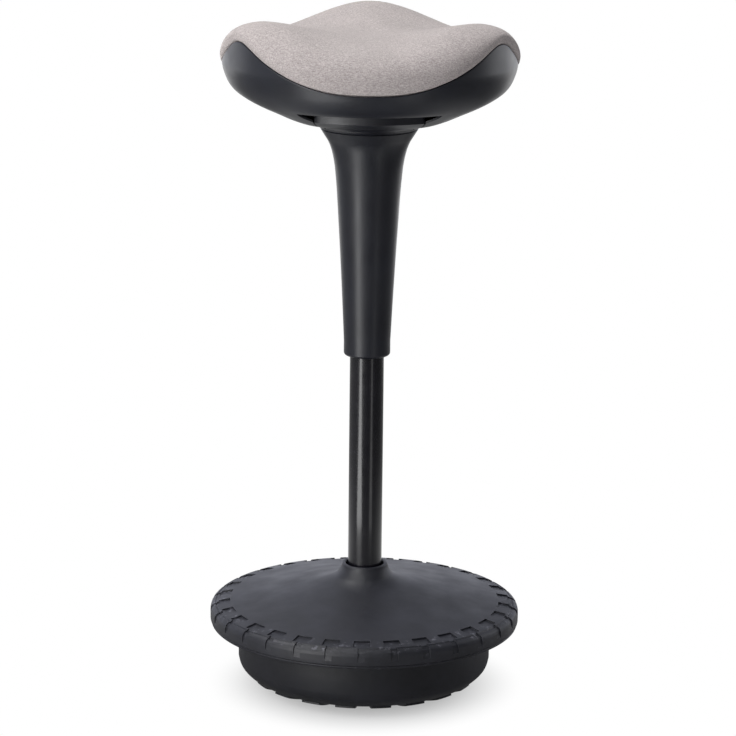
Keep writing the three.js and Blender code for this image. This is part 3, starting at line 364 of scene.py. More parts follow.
# steel tube, powder coated gloss black: a tight highlight with the faint orange peel of the coat
enamel = grainedMaterial(
    "enamel_gloss_black", colours=("#121117", "#17161d"), patch=30, roughness=(0.2, 0.28), wander=18,
    bump=2.5, depth=0.012, IOR=1.5, Coat_Weight=0.5, Coat_Roughness=0.08)
# mild steel plated with zinc: cool grey, slightly cloudy, softly bright
zinc = grainedMaterial(
    "steel_zinc_plated", colours=("#94989e", "#adb1b5"), patch=6, roughness=(0.3, 0.48), wander=4,
    bump=1, depth=0.01, Metallic=1)
# steel ground round its axis: bright, with fine rings
steel = grainedMaterial(
    "steel_ground", colours=("#b1b4b8", "#c6c8ca"), patch=8, roughness=(0.18, 0.32), wander=6,
    bump=4, depth=0.008, stretch=(1, 1, 12), Metallic=1)
# grey iron from a sand mould: dull, dark and pitted
iron = grainedMaterial(
    "iron_sand_cast", colours=("#46474a", "#5f6064"), patch=5, roughness=(0.65, 0.85), wander=5,
    bump=1.5, depth=0.15, Metallic=0.7)
# nylon turned on a lathe: milky, with faint rings
nylon = grainedMaterial(
    "nylon_turned", colours=("#d2d1c9", "#dedcd5"), patch=5, roughness=(0.38, 0.52), wander=4,
    bump=1, depth=0.01, stretch=(0.2, 0.2, 3), IOR=1.53)
# rotary-cut birch: pale, with long soft figure
ply = grainedMaterial(
    "birch_plywood", colours=("#b8935f", "#d3b384"), patch=9, detail=6, roughness=(0.6, 0.75), wander=6,
    bump=1, depth=0.06, stretch=(0.12, 1, 1), IOR=1.5)
fabric = greyMelange()
print("materials made")


def finishPiece(piece, body, material, slot, *nodes):
    piece.data.materials.clear()
    piece.data.materials.append(material)
    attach(piece, body)
    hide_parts(*nodes)
    print(piece.name, len(piece.data.polygons), "faces")


# Base cover: domed rubber boot with a collar and T-shaped tread cuts

boot = {
    "sides": 540,
    "cuts": 30,
    "cutTurn": -0.014,  # radians, nearest cut from the front
    "cutDepth": 1.5,
    "barSlope": 0.5,  # how much deeper the bar is at its inner edge
    "barInner": 160.5,
    "barOuter": 174,
    "barHalf": 3.33,  # degrees
    "stemHalf": 1.33,
    "stemRise": 9.2,
    "stemFade": 0.3,  # depth left where a stem runs out
    "creaseRadius": 178.4,
    "creaseDepth": 1.1,  # shallow ring between the cuts
    "creaseWidth": 2.2,
    "rimRadius": 184,
    "edgeRound": 0.45,
    "shoulder": [(0, 15.5), (1.4, 19.6), (5.2, 22.6), (10.4, 24.3), (15.5, 25.2)],  # in from the rim, and up
    "dome": [(160.5, 26.9), (125, 33.7), (90, 40.8), (60, 47.4), (44.5, 51.8), (34.6, 57.2), (29.2, 64.2)],
    "bore": 22.7,
    "lip": 150.7,
    "inside": [(22.7, 59.2), (60, 42.7), (165, 21.2), (176.3, 8.1), (176.3, 3.5), (150.7, 3.5), (150.7, 0)],
}  # heights are over the foot


def makeBoot():
    kit = boot
    rim = kit["rimRadius"]
    foot, top = (corner.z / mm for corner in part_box("base_cover"))
    stemFoot = foot + kit["stemRise"]
    bar, edge, crease, bore = kit["barOuter"], kit["creaseRadius"], kit["creaseWidth"], kit["bore"]
    side = [
        *arc((rim - 2.4, foot + 1.2), 1.2, -90, 0, 3), (rim - 1.1, foot + 2.3), (rim - 1.5, foot + 2.9),
        (rim - 1, foot + 3.5), *arc((rim - 1.4, foot + 4.9), 1.4, -30, 0, 2), (rim, stemFoot),
        (rim, foot + 14.5),
    ]
    dome = [(radius, foot + rise) for radius, rise in kit["dome"]]
    over = smoothLine([*[(rim - inset, foot + rise) for inset, rise in kit["shoulder"]], dome[0]], 4)
    shoulder = [point for point in over if point[0] > edge + 0.4]

    def topAt(radius):
        return readOff(over[::-1], radius, 0, 1)

    creaseLine = [(edge, topAt(edge)), (edge - 0.3, topAt(edge) - kit["creaseDepth"] * 0.4),
                  (edge - crease * 0.5, topAt(edge - crease * 0.5) - kit["creaseDepth"]),
                  (edge - crease, topAt(edge - crease))]
    cone = [(radius, topAt(radius)) for radius in (bar, bar - 3, bar - 6, bar - 9, kit["barInner"])]
    collar = [(27.6, top - 4.4), *arc((25.2, top - 1.8), 1.8, -12, 90), (bore + 0.9, top), (bore, top - 0.9)]
    inside = [(radius, foot + rise) for radius, rise in kit["inside"]]
    piece = turnedPiece("base_boot", [
        (kit["lip"] + 0.3, foot), (rim - 12, foot), *side, *shoulder, *creaseLine, *cone,
        *smoothLine(dome, 5)[1:], *collar, *inside], kit["sides"])

    def inCut(middle, face):
        radius = math.hypot(middle.x, middle.y)
        if face.normal.z < -0.05 or radius < kit["barInner"] or middle.z < stemFoot:
            return False
        if radius < 176 and middle.z < foot + 20 and face.normal.z < 0.2:
            return False  # inside the rim
        off = abs(offFrom(middle, front, kit["cuts"]))
        return off < (kit["barHalf"] if radius < kit["barOuter"] else kit["stemHalf"])

    selectFaces(piece, inCut)
    bpy.ops.mesh.extrude_region_shrink_fatten(TRANSFORM_OT_shrink_fatten={"value": -kit["cutDepth"] * mm})
    shape = bmesh.from_edit_mesh(piece.data)
    for vertex in shape.verts:
        radius = math.hypot(vertex.co.x, vertex.co.y) / mm
        if vertex.select and vertex.co.z < (stemFoot + 1.5) * mm:
            share = (rim - kit["stemFade"]) / radius
            vertex.co.x, vertex.co.y = vertex.co.x * share, vertex.co.y * share
        elif vertex.select and radius < bar:
            vertex.co.z -= kit["barSlope"] * (bar - radius) / (bar - kit["barInner"]) * mm
    bmesh.update_edit_mesh(piece.data)
    bpy.ops.mesh.select_all(action="SELECT")
    bpy.ops.transform.rotate(value=-kit["cutTurn"], orient_axis="Z", center_override=(0, 0, 0))
    bevelEdges(piece, kit["edgeRound"], 50, 1)
    tidyMesh(piece, 30)
    finishPiece(piece, "base", rubber, "boot_rubber", "base_cover")


makeBoot()


# Sole: round-bottomed bowl with tread lugs

sole = {
    "sides": 360,
    "lugs": 20,
    "lugInner": 95,
    "lugOuter": 135,
    "lugHalf": 5,  # degrees
    "lugProud": 2.4,
    "wall": 4,
    "radius": 150.3,
    "under": [(57, 0), (76, 2.1), (95, 5.4), (116, 10.4), (135, 16.8), (142.6, 21.9), (148, 28.4),
              (150.3, 36.5)],
    "inside": [(132, 21), (95, 10.5), (57, 5)],
}


def makeSole():
    kit = sole
    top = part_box("base_bowl")[1].z / mm
    radius, inner = kit["radius"], kit["radius"] - kit["wall"]
    under = smoothLine(kit["under"], 4)
    piece = turnedPiece("base_sole", [
        *under, (radius, 56), (radius, top - 0.6), (radius - 0.6, top), (inner, top), (inner, 38),
        *kit["inside"]], kit["sides"], pole=True)
    editPiece(piece, "EDGE")
    bpy.ops.mesh.select_non_manifold()
    bpy.ops.mesh.edge_face_add()
    tidyMesh(piece)

    def inLug(middle, face):
        radius = math.hypot(middle.x, middle.y)
        outside = middle.z < readOff(under, radius, 0, 1) + 1
        off = abs(offFrom(middle, front + turn / kit["lugs"] / 2, kit["lugs"]))
        return outside and kit["lugInner"] < radius < kit["lugOuter"] and off < kit["lugHalf"]

    selectFaces(piece, inLug)
    bpy.ops.mesh.extrude_region_shrink_fatten(TRANSFORM_OT_shrink_fatten={"value": kit["lugProud"] * mm})
    bevelEdges(piece, 0.5, 50, 2)
    tidyMesh(piece)
    finishPiece(piece, "base", rubber, "sole_rubber", "base_bowl")


makeSole()


# Column: gloss black tube

column = {
    "sides": 128,
    "radius": 20,
    "bore": 18.5,
    "footRadius": 19.2,
    "taperTop": 90,
    "floor": 3,
    "hole": 5.8,
    "edge": 0.4,
}


def makeColumn():
    kit = column
    foot, top = (corner.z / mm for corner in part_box("column_tube"))
    radius, bore, edge = kit["radius"], kit["bore"], kit["edge"]
    socket = kit["footRadius"] - (radius - bore)
    piece = turnedPiece("column_tube_gloss", [
        (kit["hole"], foot), (kit["footRadius"], foot), (radius, kit["taperTop"]), (radius, top - edge),
        (radius - edge, top), (bore, top), (bore, kit["taperTop"]), (socket, kit["taperTop"] - 3),
        (socket, foot + kit["floor"]), (kit["hole"], foot + kit["floor"]),
    ], kit["sides"])
    finishPiece(piece, "base", enamel, "gloss_black_tube", "column_tube")


makeColumn()


# Sleeve: long trumpet over the gas cylinder

trumpet = {
    "sides": 160,
    "wall": 3,
    "footRound": 3.6,
    "headChamfer": 0.8,
    "spigot": 52.4,
    "spigotWall": 2.6,
    "spigotHeight": 12,
    "flare": [(27.3, 17.5), (29.6, 65.5), (32.1, 113.2), (34.9, 160.5), (37.1, 195.9), (39.2, 219.5),
              (40.8, 231.2), (43.4, 242.9), (47.2, 253), (51.4, 259.9), (56.5, 268.1)],  # radius, rise
}


def makeTrumpet():
    kit = trumpet
    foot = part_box("column_sleeve")[0].z / mm
    line = smoothLine([(radius, foot + rise) for radius, rise in kit["flare"]], 4)
    head = line[-1][1] + kit["headChamfer"]
    first, wall, lift = kit["flare"][0][0], kit["wall"], kit["footRound"]
    spigot, inner = kit["spigot"], kit["spigot"] - kit["spigotWall"]
    outer = [(first - lift - 0.3, foot), *arc((first - lift, foot + lift), lift, -90, 0, 6), *line,
             (line[-1][0] - kit["headChamfer"], head)]
    neck = [(spigot, head), (spigot, head + kit["spigotHeight"]), (inner, head + kit["spigotHeight"]),
            (inner, head - 6)]
    inside = [(r - wall, z - wall * 0.5) for r, z in reversed(line) if r - wall < inner - 1][::3]
    piece = turnedPiece("column_trumpet", [*outer, *neck, *inside, (first - lift - 0.3, foot + 6)],
                        kit["sides"])
    finishPiece(piece, "seat", plastic, "black_plastic", "column_sleeve")


makeTrumpet()


# Seat shell: bowl with a scalloped rim, with the finger slot in its underside

shell = {
    "sides": 288,
    "wall": 3,
    "wallTurn": 75,  # over this height the wall's thickness turns from upward to sideways
    "neck": 52.7,
    "neckEdge": 56.4,
    "lobeHeight": 48.4,
    "flank": 1.5,  # how sharply the lobes rise
    "crest": 10,
    "crestShare": 0.25,
    "followRise": 24,  # rings above this rise with the rim,
    "followStop": 3.2,  # fully from this far under its valleys
    "lip": 1.3,
    "frontSink": {"depth": 4.6, "inner": (64, 104), "outer": (148, 168), "aside": (38, 76)},  # degrees aside
    "belly": [(57.1, 0.9), (60, 2.4), (64, 4.9), (70, 8.4), (78, 11.4), (87, 13.8), (95, 16), (101, 18),
              (107, 20.2), (112, 22.2), (117, 24.5), (123, 27.2), (128, 29.4), (134, 32), (138, 33.9),
              (142, 35.9), (146, 38.1), (149, 40.1), (152, 42.2), (154.5, 44.2), (156.5, 46), (158.4, 48),
              (160.3, 50.3), (162, 52.7), (163.3, 54.9), (164.5, 57.3), (165.5, 59.6), (166.5, 62.2),
              (168, 66.4), (169.1, 70.3), (170, 75.5)],  # heights over the foot
}

shellFoot, shellTop = (edge.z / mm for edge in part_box("seat_shell"))
rimLow = shellTop - shell["lobeHeight"]
bellyLine = smoothLine([(radius, shellFoot + rise) for radius, rise in shell["belly"]], 2)


def bellyRadiusAt(z):
    return readOff(bellyLine, z, 1, 0)


def bellyHeightAt(radius):
    return readOff(bellyLine, radius, 0, 1)


def swellAt(angle):
    return (1 + math.cos(3 * (angle + front))) / 2  # a lobe points back


def rimRise(angle):
    flank, crest = swellAt(angle) ** shell["flank"], swellAt(angle) ** shell["crest"]
    return shell["lobeHeight"] * (flank + (crest - flank) * shell["crestShare"])


def follow(z):
    # share of the rim's rise that a ring at this height takes
    start = shellFoot + shell["followRise"]
    return min(max((z - start) / (rimLow - shell["followStop"] - start), 0), 1)


def eased(value, start, end):
    share = min(max((value - start) / (end - start), 0), 1)
    return share * share * (3 - 2 * share)


def sinkAt(x, y):
    # the underside hangs lower in front, round the finger slot
    kit = shell["frontSink"]
    radius, aside = math.hypot(x, y), math.degrees(abs(math.atan2(x, -y)))
    out = eased(radius, *kit["inner"]) * (1 - eased(radius, *kit["outer"]))
    return kit["depth"] * out * (1 - eased(aside, *kit["aside"]))


def sunk(point):
    return (point.x, point.y, point.z - sinkAt(point.x, point.y))


def slotOutline(kit):
    # plan of the opening: front arc, pointed tips, and the paddle's rear edge
    radius, tipX, gap = kit["slotRadius"], kit["tipX"], kit["clearance"]
    rear, rearX, cornerX = kit["rearRadius"] - gap, kit["rearX"] + gap, kit["cornerX"] + 2 * gap
    cornerY = -math.sqrt(kit["faceRadius"] ** 2 - kit["cornerX"] ** 2) - gap
    tipY = -math.sqrt(radius ** 2 - tipX ** 2)
    bend = (tipX * 0.97, (tipY + cornerY) / 2)
    edge = [tuple((1 - t) ** 2 * a + 2 * t * (1 - t) * b + t ** 2 * c
                  for a, b, c in zip((tipX, tipY), bend, (cornerX, cornerY)))
            for t in (i / 9 for i in range(1, 9))]
    return [*sweep(radius, math.asin(tipX / radius), 24), *edge, (cornerX, cornerY),
            *sweep(rear, -math.asin(rearX / rear), 6), (-cornerX, cornerY),
            *[(-x, y) for x, y in reversed(edge)]]


def paddleOutline(kit):
    face, rear, cornerX = kit["faceRadius"], kit["rearRadius"], kit["cornerX"]
    cornerY = -math.sqrt(face ** 2 - cornerX ** 2) + kit["clearance"]
    return [*sweep(face, math.asin(kit["flatX"] / face), 16), (cornerX, cornerY),
            *sweep(rear, -math.asin(kit["rearX"] / rear), 6), (-cornerX, cornerY)]


def newest(name):
    # the piece just added, its place taken into its mesh
    piece = bpy.context.object
    piece.name = name
    bpy.ops.object.transform_apply()
    return piece


def prism(name, outline, footZ, topZ):
    clearAll()
    bpy.ops.mesh.primitive_circle_add(vertices=len(outline), radius=1, fill_type="NGON")
    piece = newest(name)
    for vertex, (x, y) in zip(piece.data.vertices, outline):
        vertex.co = Vector((x, y, footZ)) * mm
    editPiece(piece)
    bpy.ops.mesh.select_all(action="SELECT")
    bpy.ops.mesh.extrude_region_move(TRANSFORM_OT_translate={"value": (0, 0, (topZ - footZ) * mm)})
    tidyMesh(piece)
    return piece


def cutWith(piece, tool, operation="DIFFERENCE"):
    applyModifier(piece, "BOOLEAN", object=tool, operation=operation, solver="EXACT")
    bpy.data.objects.remove(tool)


paddle = {
    "slotRadius": 146,
    "tipX": 81,
    "faceRadius": 120,
    "cornerX": 61.8,
    "flatX": 58.5,
    "rearRadius": 62,
    "rearX": 50,
    "faceLean": 0.6,  # the front face leans back by this over its height
    "clearance": 0.8,
    "thick": 8.2,
    "rearThick": 4,
    "leverHalf": 12,
    "leverThick": 6,
    "leverTail": 6,
    "leverRound": 0.8,
    "web": 14.4,
    "pivotY": -40,
    "pivotRadius": 2.8,
    "bossRadius": 6,
    "bossHalf": 14.5,
}


def makeShell():
    kit = shell
    wall, lip, neck, turned = kit["wall"], kit["lip"], kit["neck"], kit["wallTurn"]
    low, start = rimLow, rimLow - kit["followStop"]
    outer = [point for point in bellyLine if point[1] < start - 0.3]
    widest = bellyRadiusAt(low)
    rim = [*[(bellyRadiusAt(z), z) for z in (start, low - 2, low - lip)],
           (widest - lip * 0.3, low - lip * 0.3), (widest - lip, low), (widest - wall + 0.4, low),
           (widest - wall, low - 0.4), (widest - wall, start)]
    inner = [(r - wall * (z - shellFoot) / turned, z + wall * (1 - (z - shellFoot) / turned))
             for r, z in reversed(outer)]
    inner = [point for point in inner[::3] if point[1] < low - 4]
    piece = turnedPiece("seat_shell_moulded", [
        (neck, shellFoot), (kit["neckEdge"], shellFoot), *outer, *rim, *inner, (neck, shellFoot + wall),
    ], kit["sides"])

    def raiseRim(point):
        radius = math.hypot(point.x, point.y)
        rise = rimRise(angleOf(point)) * follow(point.z)
        if rise <= 0 or radius < 60:
            return point
        inset = bellyRadiusAt(point.z) - radius
        newRadius = bellyRadiusAt(point.z + rise) - inset
        return (point.x * newRadius / radius, point.y * newRadius / radius, point.z + rise)

    moveVertices(piece, raiseRim)
    moveVertices(piece, sunk)
    slotTop = bellyHeightAt(paddle["slotRadius"]) + 6
    cutWith(piece, prism("slot_cutter", slotOutline(paddle), shellFoot - 5, slotTop))
    bevelEdges(piece, 0.35, 50, 1)
    tidyMesh(piece, 30)
    finishPiece(piece, "seat", plastic, "black_plastic", "seat_shell")


makeShell()


# Height paddle: flush in the shell's underside, with its lever up to the gas valve

def bevelledBlock(name, low, high, edgeRound):
    clearAll()
    middle = [(a + b) / 2 * mm for a, b in zip(low, high)]
    bpy.ops.mesh.primitive_cube_add(size=1, location=middle, scale=[(b - a) * mm for a, b in zip(low, high)])
    piece = newest(name)
    bevelEdges(piece, edgeRound)
    return piece


def crossPin(name, radius, half, y, z):
    clearAll()
    bpy.ops.mesh.primitive_cylinder_add(vertices=48, radius=radius * mm, depth=2 * half * mm,
                                        location=(0, y * mm, z * mm), rotation=(0, turn / 4, 0))
    return newest(name)


def makePaddle():
    kit = paddle
    under = [point for point in bellyLine if 57 < point[0] < kit["slotRadius"]]

    def thickAt(radius):
        share = (radius - kit["rearRadius"]) / (kit["faceRadius"] - kit["rearRadius"])
        return kit["rearThick"] + (kit["thick"] - kit["rearThick"]) * share

    over = [(r, z + thickAt(r)) for r, z in reversed(under)][::3]
    piece = turnedPiece("height_paddle", [*under, *over], 288)
    cutWith(piece, prism("paddle_plan", paddleOutline(kit), shellFoot - 5, shellFoot + 50), "INTERSECT")

    def leant(point):
        radius = math.hypot(point.x, point.y)
        up = min(max((point.z - bellyHeightAt(radius)) / kit["thick"], 0), 1)
        face = eased(radius, kit["faceRadius"] - 4, kit["faceRadius"] - 1)
        share = 1 - kit["faceLean"] * up * face / radius
        return (point.x * share, point.y * share, point.z)

    moveVertices(piece, leant)
    moveVertices(piece, sunk)
    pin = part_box("pivot_pin")
    pivotZ = (pin[0].z + pin[1].z) / 2 / mm
    half, foot = kit["leverHalf"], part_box("valve_pin")[1].z / mm + 0.3
    frontY = -(kit["rearRadius"] + kit["faceRadius"]) / 2
    lever = bevelledBlock("lever", (-half, frontY, foot), (half, kit["leverTail"], foot + kit["leverThick"]),
                          kit["leverRound"])
    webFoot = bellyHeightAt(-frontY) - sinkAt(0, frontY) + kit["rearThick"] / 2
    webTop = foot + kit["leverThick"] / 2
    web = bevelledBlock("web", (-half, frontY, webFoot), (half, frontY + kit["web"], webTop),
                        kit["leverRound"])
    boss = crossPin("boss", kit["bossRadius"], kit["bossHalf"], kit["pivotY"], pivotZ)
    for part in (web, boss):
        cutWith(lever, part, "UNION")
    cutWith(piece, lever, "UNION")
    cutWith(piece, crossPin("bore", kit["pivotRadius"], kit["bossHalf"] + 4, kit["pivotY"], pivotZ))
    bevelEdges(piece, 0.45, 35, 2)
    tidyMesh(piece, 30)
    finishPiece(piece, "paddle", plastic, "black_plastic", "release_paddle")


makePaddle()


# Cushion: woven cover stretched over foam, tucked in behind the shell's rim

cushion = {
    "sides": 240,
    "overhang": 3.6,  # widest line beyond the rim
    "bulgeRise": 9,  # and over it
    "tuckIn": 1.6,
    "rimGap": 0.8,
    "saddle": 50,  # crown over the rim's valleys
    "shoulderRise": 22,  # shoulder over the lobes
    "valleyFill": 21.6,  # and how much more than that over the valleys
    "fill": 1.4,
    "shoulder": 132,
    "dish": 1.7,
    "start": 2.4,  # the cover begins this much smaller and swells
    "cap": 1.1,  # and ends no further than this from the drawn shape
    "frames": 20,
    "cloth": {"quality": 5, "mass": 0.3, "tension_stiffness": 15, "compression_stiffness": 15,
              "shear_stiffness": 5, "bending_stiffness": 0.5, "use_pressure": True,
              "uniform_pressure_force": 4},
    "softFrom": 10,  # smoothing starts this far over the rim
    "softRounds": 12,
    "tuck": [(-3.6, 0.2), (-3.9, -1.6), (-4, -4)],  # rings behind the rim: beyond its radius, and over it
    "edgeRings": [0.9985, 0.995, 0.989, 0.98, 0.969, 0.955, 0.938, 0.918, 0.897, 0.875],  # of the radius
    "blank": 200,  # radius of the ring that the rings are drawn in from,
    "shrink": 0.99,  # each by this
}


def cushionHeight(radius, angle, kit):
    # top of the cushion over a point
    lobe = (shell["lobeHeight"] - kit["valleyFill"]) * swellAt(angle) ** kit["fill"]
    shoulder = rimLow + kit["shoulderRise"] + kit["valleyFill"] + lobe
    crown, bulge = rimLow + kit["saddle"], rimLow + rimRise(angle) + kit["bulgeRise"]
    if radius <= kit["shoulder"]:
        return crown + (shoulder - crown) * (radius / kit["shoulder"]) ** kit["dish"]
    widest = bellyRadiusAt(rimLow + rimRise(angle)) + kit["overhang"]
    across = min((radius - kit["shoulder"]) / (widest - kit["shoulder"]), 1)
    return bulge + (shoulder - bulge) * math.sqrt(1 - across ** 2)


def makeCushion():
    kit = cushion
    sides, blank, shrink, over = kit["sides"], kit["blank"], kit["shrink"], kit["edgeRings"]
    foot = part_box("seat_foam")[0].z / mm
    bulge, widest = kit["bulgeRise"], kit["overhang"]
    bottom, bottomRadius = foot + 0.4, bellyRadiusAt(foot) - 6
    # rings as (radius beyond the rim's, height over the rim), from the widest line down and in
    under = [(widest - (widest + kit["tuckIn"]) * (1 - math.cos(a)),
              bulge - (bulge - kit["rimGap"]) * math.sin(a)) for a in (turn / 4 * i / 6 for i in range(7))]
    under += kit["tuck"]
    clearAll()
    bpy.ops.mesh.primitive_circle_add(vertices=sides, radius=blank * mm)
    piece = newest("seat_cushion")

    def addRings(count):
        for _ in range(count):
            bpy.ops.mesh.extrude_edges_move(TRANSFORM_OT_translate={"value": (0, 0, 0)})
            bpy.ops.transform.resize(value=(shrink, shrink, 1), center_override=(0, 0, 0))

    bpy.ops.object.mode_set(mode="EDIT")
    bpy.ops.mesh.select_all(action="SELECT")
    addRings(len(under))
    bpy.ops.mesh.fill_grid(span=sides // 4)
    bpy.ops.object.mode_set(mode="OBJECT")
    lower = len(piece.data.vertices)
    editPiece(piece, "VERT")
    shape = bmesh.from_edit_mesh(piece.data)
    shape.verts.ensure_lookup_table()
    for index in range(sides):
        shape.verts[index].select_set(True)
    shape.select_flush(True)
    bmesh.update_edit_mesh(piece.data)
    addRings(len(over))
    bpy.ops.mesh.fill_grid(span=sides // 4)

    def placed(index, point):
        angle, away = math.atan2(point.y, point.x), math.hypot(point.x, point.y) / mm
        rim = rimLow + rimRise(angle)
        edge = bellyRadiusAt(rim)
        ring = index // sides
        if index < sides:
            radius, height = edge + widest, rim + bulge
        elif ring < len(under):
            radius, height = edge + under[ring][0], rim + under[ring][1]
        elif ring == len(under):
            radius, height = bottomRadius, bottom
        elif index < lower:
            radius, height = away / (blank * shrink ** len(under)) * bottomRadius, bottom
        else:
            ring = (index - lower) // sides
            if ring < len(over):
                radius = (edge + widest) * over[ring]
            else:
                radius = away / (blank * shrink ** len(over)) * (edge + widest) * over[-1]
            height = cushionHeight(radius, angle, kit)
        return Vector((math.cos(angle) * radius, math.sin(angle) * radius, height)) * mm

    pick(piece)
    for vertex in piece.data.vertices:
        vertex.co = placed(vertex.index, vertex.co.copy())
    piece.data.update()
    tidyMesh(piece, 180)
    return piece


def overRim(vertex):
    point = vertex.co / mm
    return point.z - rimLow - rimRise(angleOf(point))


def softenTop(piece, reach, rounds):
    # eases the crease where the rounded edge meets the dish
    group = piece.vertex_groups.new(name="top")
    for vertex in piece.data.vertices:
        group.add([vertex.index], min(max((overRim(vertex) - reach) / 6, 0), 1), "REPLACE")
    applyModifier(piece, "SMOOTH", factor=0.5, iterations=rounds, vertex_group=group.name)
    piece.vertex_groups.clear()


def swellCushion(piece):
    # the foam presses the cover out; what is tucked in behind the rim is held
    kit = cushion
    clearAll()
    drawn = [vertex.co.copy() for vertex in piece.data.vertices]
    outward = [vertex.normal.copy() for vertex in piece.data.vertices]
    held = piece.vertex_groups.new(name="tucked")
    for vertex in piece.data.vertices:
        grip = min(max(1 - (overRim(vertex) - 2) / 6, 0), 1)
        held.add([vertex.index], grip, "REPLACE")
        vertex.co -= outward[vertex.index] * kit["start"] * (1 - grip) * mm
    pick(piece)
    cloth = piece.modifiers.new("swell", "CLOTH")
    for key, value in kit["cloth"].items():
        setattr(cloth.settings, key, value)
    cloth.settings.effector_weights.gravity = 0
    cloth.settings.vertex_group_mass = held.name
    cloth.point_cache.frame_start, cloth.point_cache.frame_end = 1, kit["frames"]
    for number in range(1, kit["frames"] + 1):
        bpy.context.scene.frame_set(number)
    pick(piece)
    bpy.ops.object.modifier_apply(modifier=cloth.name)
    bpy.context.scene.frame_set(1)
    off = [(vertex.co - aim).length / mm for vertex, aim in zip(piece.data.vertices, drawn)]
    print("swollen cover is off the drawn shape by", round(sum(off) / len(off), 2), "mm, at most",
          round(max(off), 2))
    for vertex, aim, far in zip(piece.data.vertices, drawn, off):
        if far > kit["cap"]:
            vertex.co = aim + (vertex.co - aim) * (kit["cap"] / far)
    piece.vertex_groups.clear()


def makeSeat():
    piece = makeCushion()
    swellCushion(piece)
    softenTop(piece, cushion["softFrom"], cushion["softRounds"])
    applyModifier(piece, "SUBSURF", levels=1, render_levels=1)
    pick(piece)
    bpy.ops.object.shade_smooth()
    finishPiece(piece, "seat", fabric, "grey_fabric", "seat_cover", "seat_foam")


makeSeat()

# the cover's hem, drawn round the board's edge and stapled under it
hem = {"width": 12, "thick": 1.2}


def makeHem():
    kit = hem
    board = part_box("seat_board")
    foot, top = board[0].z / mm, board[1].z / mm
    edge, thick = board[1].y / mm + 0.3, kit["thick"]
    piece = turnedPiece("cushion_hem", [
        (edge - kit["width"], foot - 0.3 - thick), (edge + thick * 0.4, foot - 0.3 - thick),
        (edge + thick * 0.9, foot - thick * 0.6), (edge + thick, foot + 0.6), (edge + thick, top + 0.2),
        (edge + 0.1, top + 0.2), (edge + 0.1, foot - 0.3), (edge - kit["width"], foot - 0.3),
    ], 180)
    piece.data.materials.append(fabric)
    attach(piece, "seat")


makeHem()

# What CAD gives as it is

def numbered(name, count):
    return [f"{name}_{i}" for i in range(1, count + 1)]


carried = {
    zinc: ["base_plate", "mount_socket", "retaining_clip", "pivot_clip", *numbered("plate_screw", 6),
           *numbered("ballast_bolt", 3), *numbered("mount_bolt", 4), *numbered("tee_nut", 4),
           *numbered("shell_screw", 3)],
    steel: ["lower_washer", "thrust_bearing", "upper_washer", "piston_rod", "valve_pin", "pivot_pin"],
    iron: ["ballast_ring"],
    enamel: ["column_socket", "gas_cylinder", "mount_plate"],
    nylon: ["guide_bush", "piston", "rod_gland"],
    rubber: ["lift_bumper"],
    ply: ["seat_board"],
}
for material, names in carried.items():
    for name in names:
        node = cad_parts[name]
        node.data.materials.clear()
        node.data.materials.append(material)
print("pieces done")

# Floor, light and camera

studio = {
    "floorHalf": 6000,
    "paper": "#c8c8c8",
    "shadow": {"between": (85, 195), "strength": (0.4, 1)},  # where the floor's shadow gives way to white
    # painted reflection: shiny faces see the paper as a glow, brighter
    "across": {"between": (-800, 800), "strength": (0.08, 0.25)},  # from the front right to the back left,
    "litSide": (-0.6, 0.8, 0),
    "ringStart": {"between": (300, 420), "strength": (0, 0.46)},  # in a ring behind the stool,
    "ringEnd": {"between": (600, 1000), "strength": (0.46, 0)},
    "ringFront": {"between": (-400, 100), "strength": (0.35, 1)},  # with this share of it in front,
    "far": {"between": (1200, 2400), "strength": (0, 1.15)},  # far behind it
    "outer": {"between": (2200, 3600), "strength": (0, 0.27)},  # and all round from further out
    "sky": 0.22,
    "skyColour": "#f6f8ff",
    # the room as shiny faces see it, between two directions as shares of straight back and straight up
    "roomDepth": {"between": (-0.2, 0.75), "strength": (0.03, 1.5)},
    "roomHeight": {"between": (0.04, 0.62), "strength": (1, 0.27)},
    "roomColour": "#eef1ff",
}

lamps = {
    # aimed at a height on the stool's axis; the mirrored ones show only in reflections
    "key": {"place": (-1900, -1500, 1600), "aim": 420, "size": (1400, 1400), "watts": 21},
    "front": {"place": (-900, -1900, 2300), "aim": 500, "size": (1200, 1200), "watts": 16},
    "edge": {"place": (1900, 650, 1200), "aim": 500, "size": (500, 1800), "watts": 5},
    "top": {"place": (-750, 150, 2450), "aim": 400, "size": (1400, 1400), "watts": 32},
    "left_stand": {"place": (-2400, -3050, 450), "aim": 450, "size": (1200, 900), "watts": 51,
                   "mirrored": True},
    "front_stand": {"place": (-1000, -3800, 450), "aim": 450, "size": (1500, 900), "watts": 8,
                   "mirrored": True},
    # lying on the floor, out from the axis, turned from the front
    "left_bounce": {"out": 1875, "turn": -41, "size": (420, 2550), "watts": 14},
    "right_bounce": {"out": 1875, "turn": 36, "size": (240, 2550), "watts": 1.8},
}


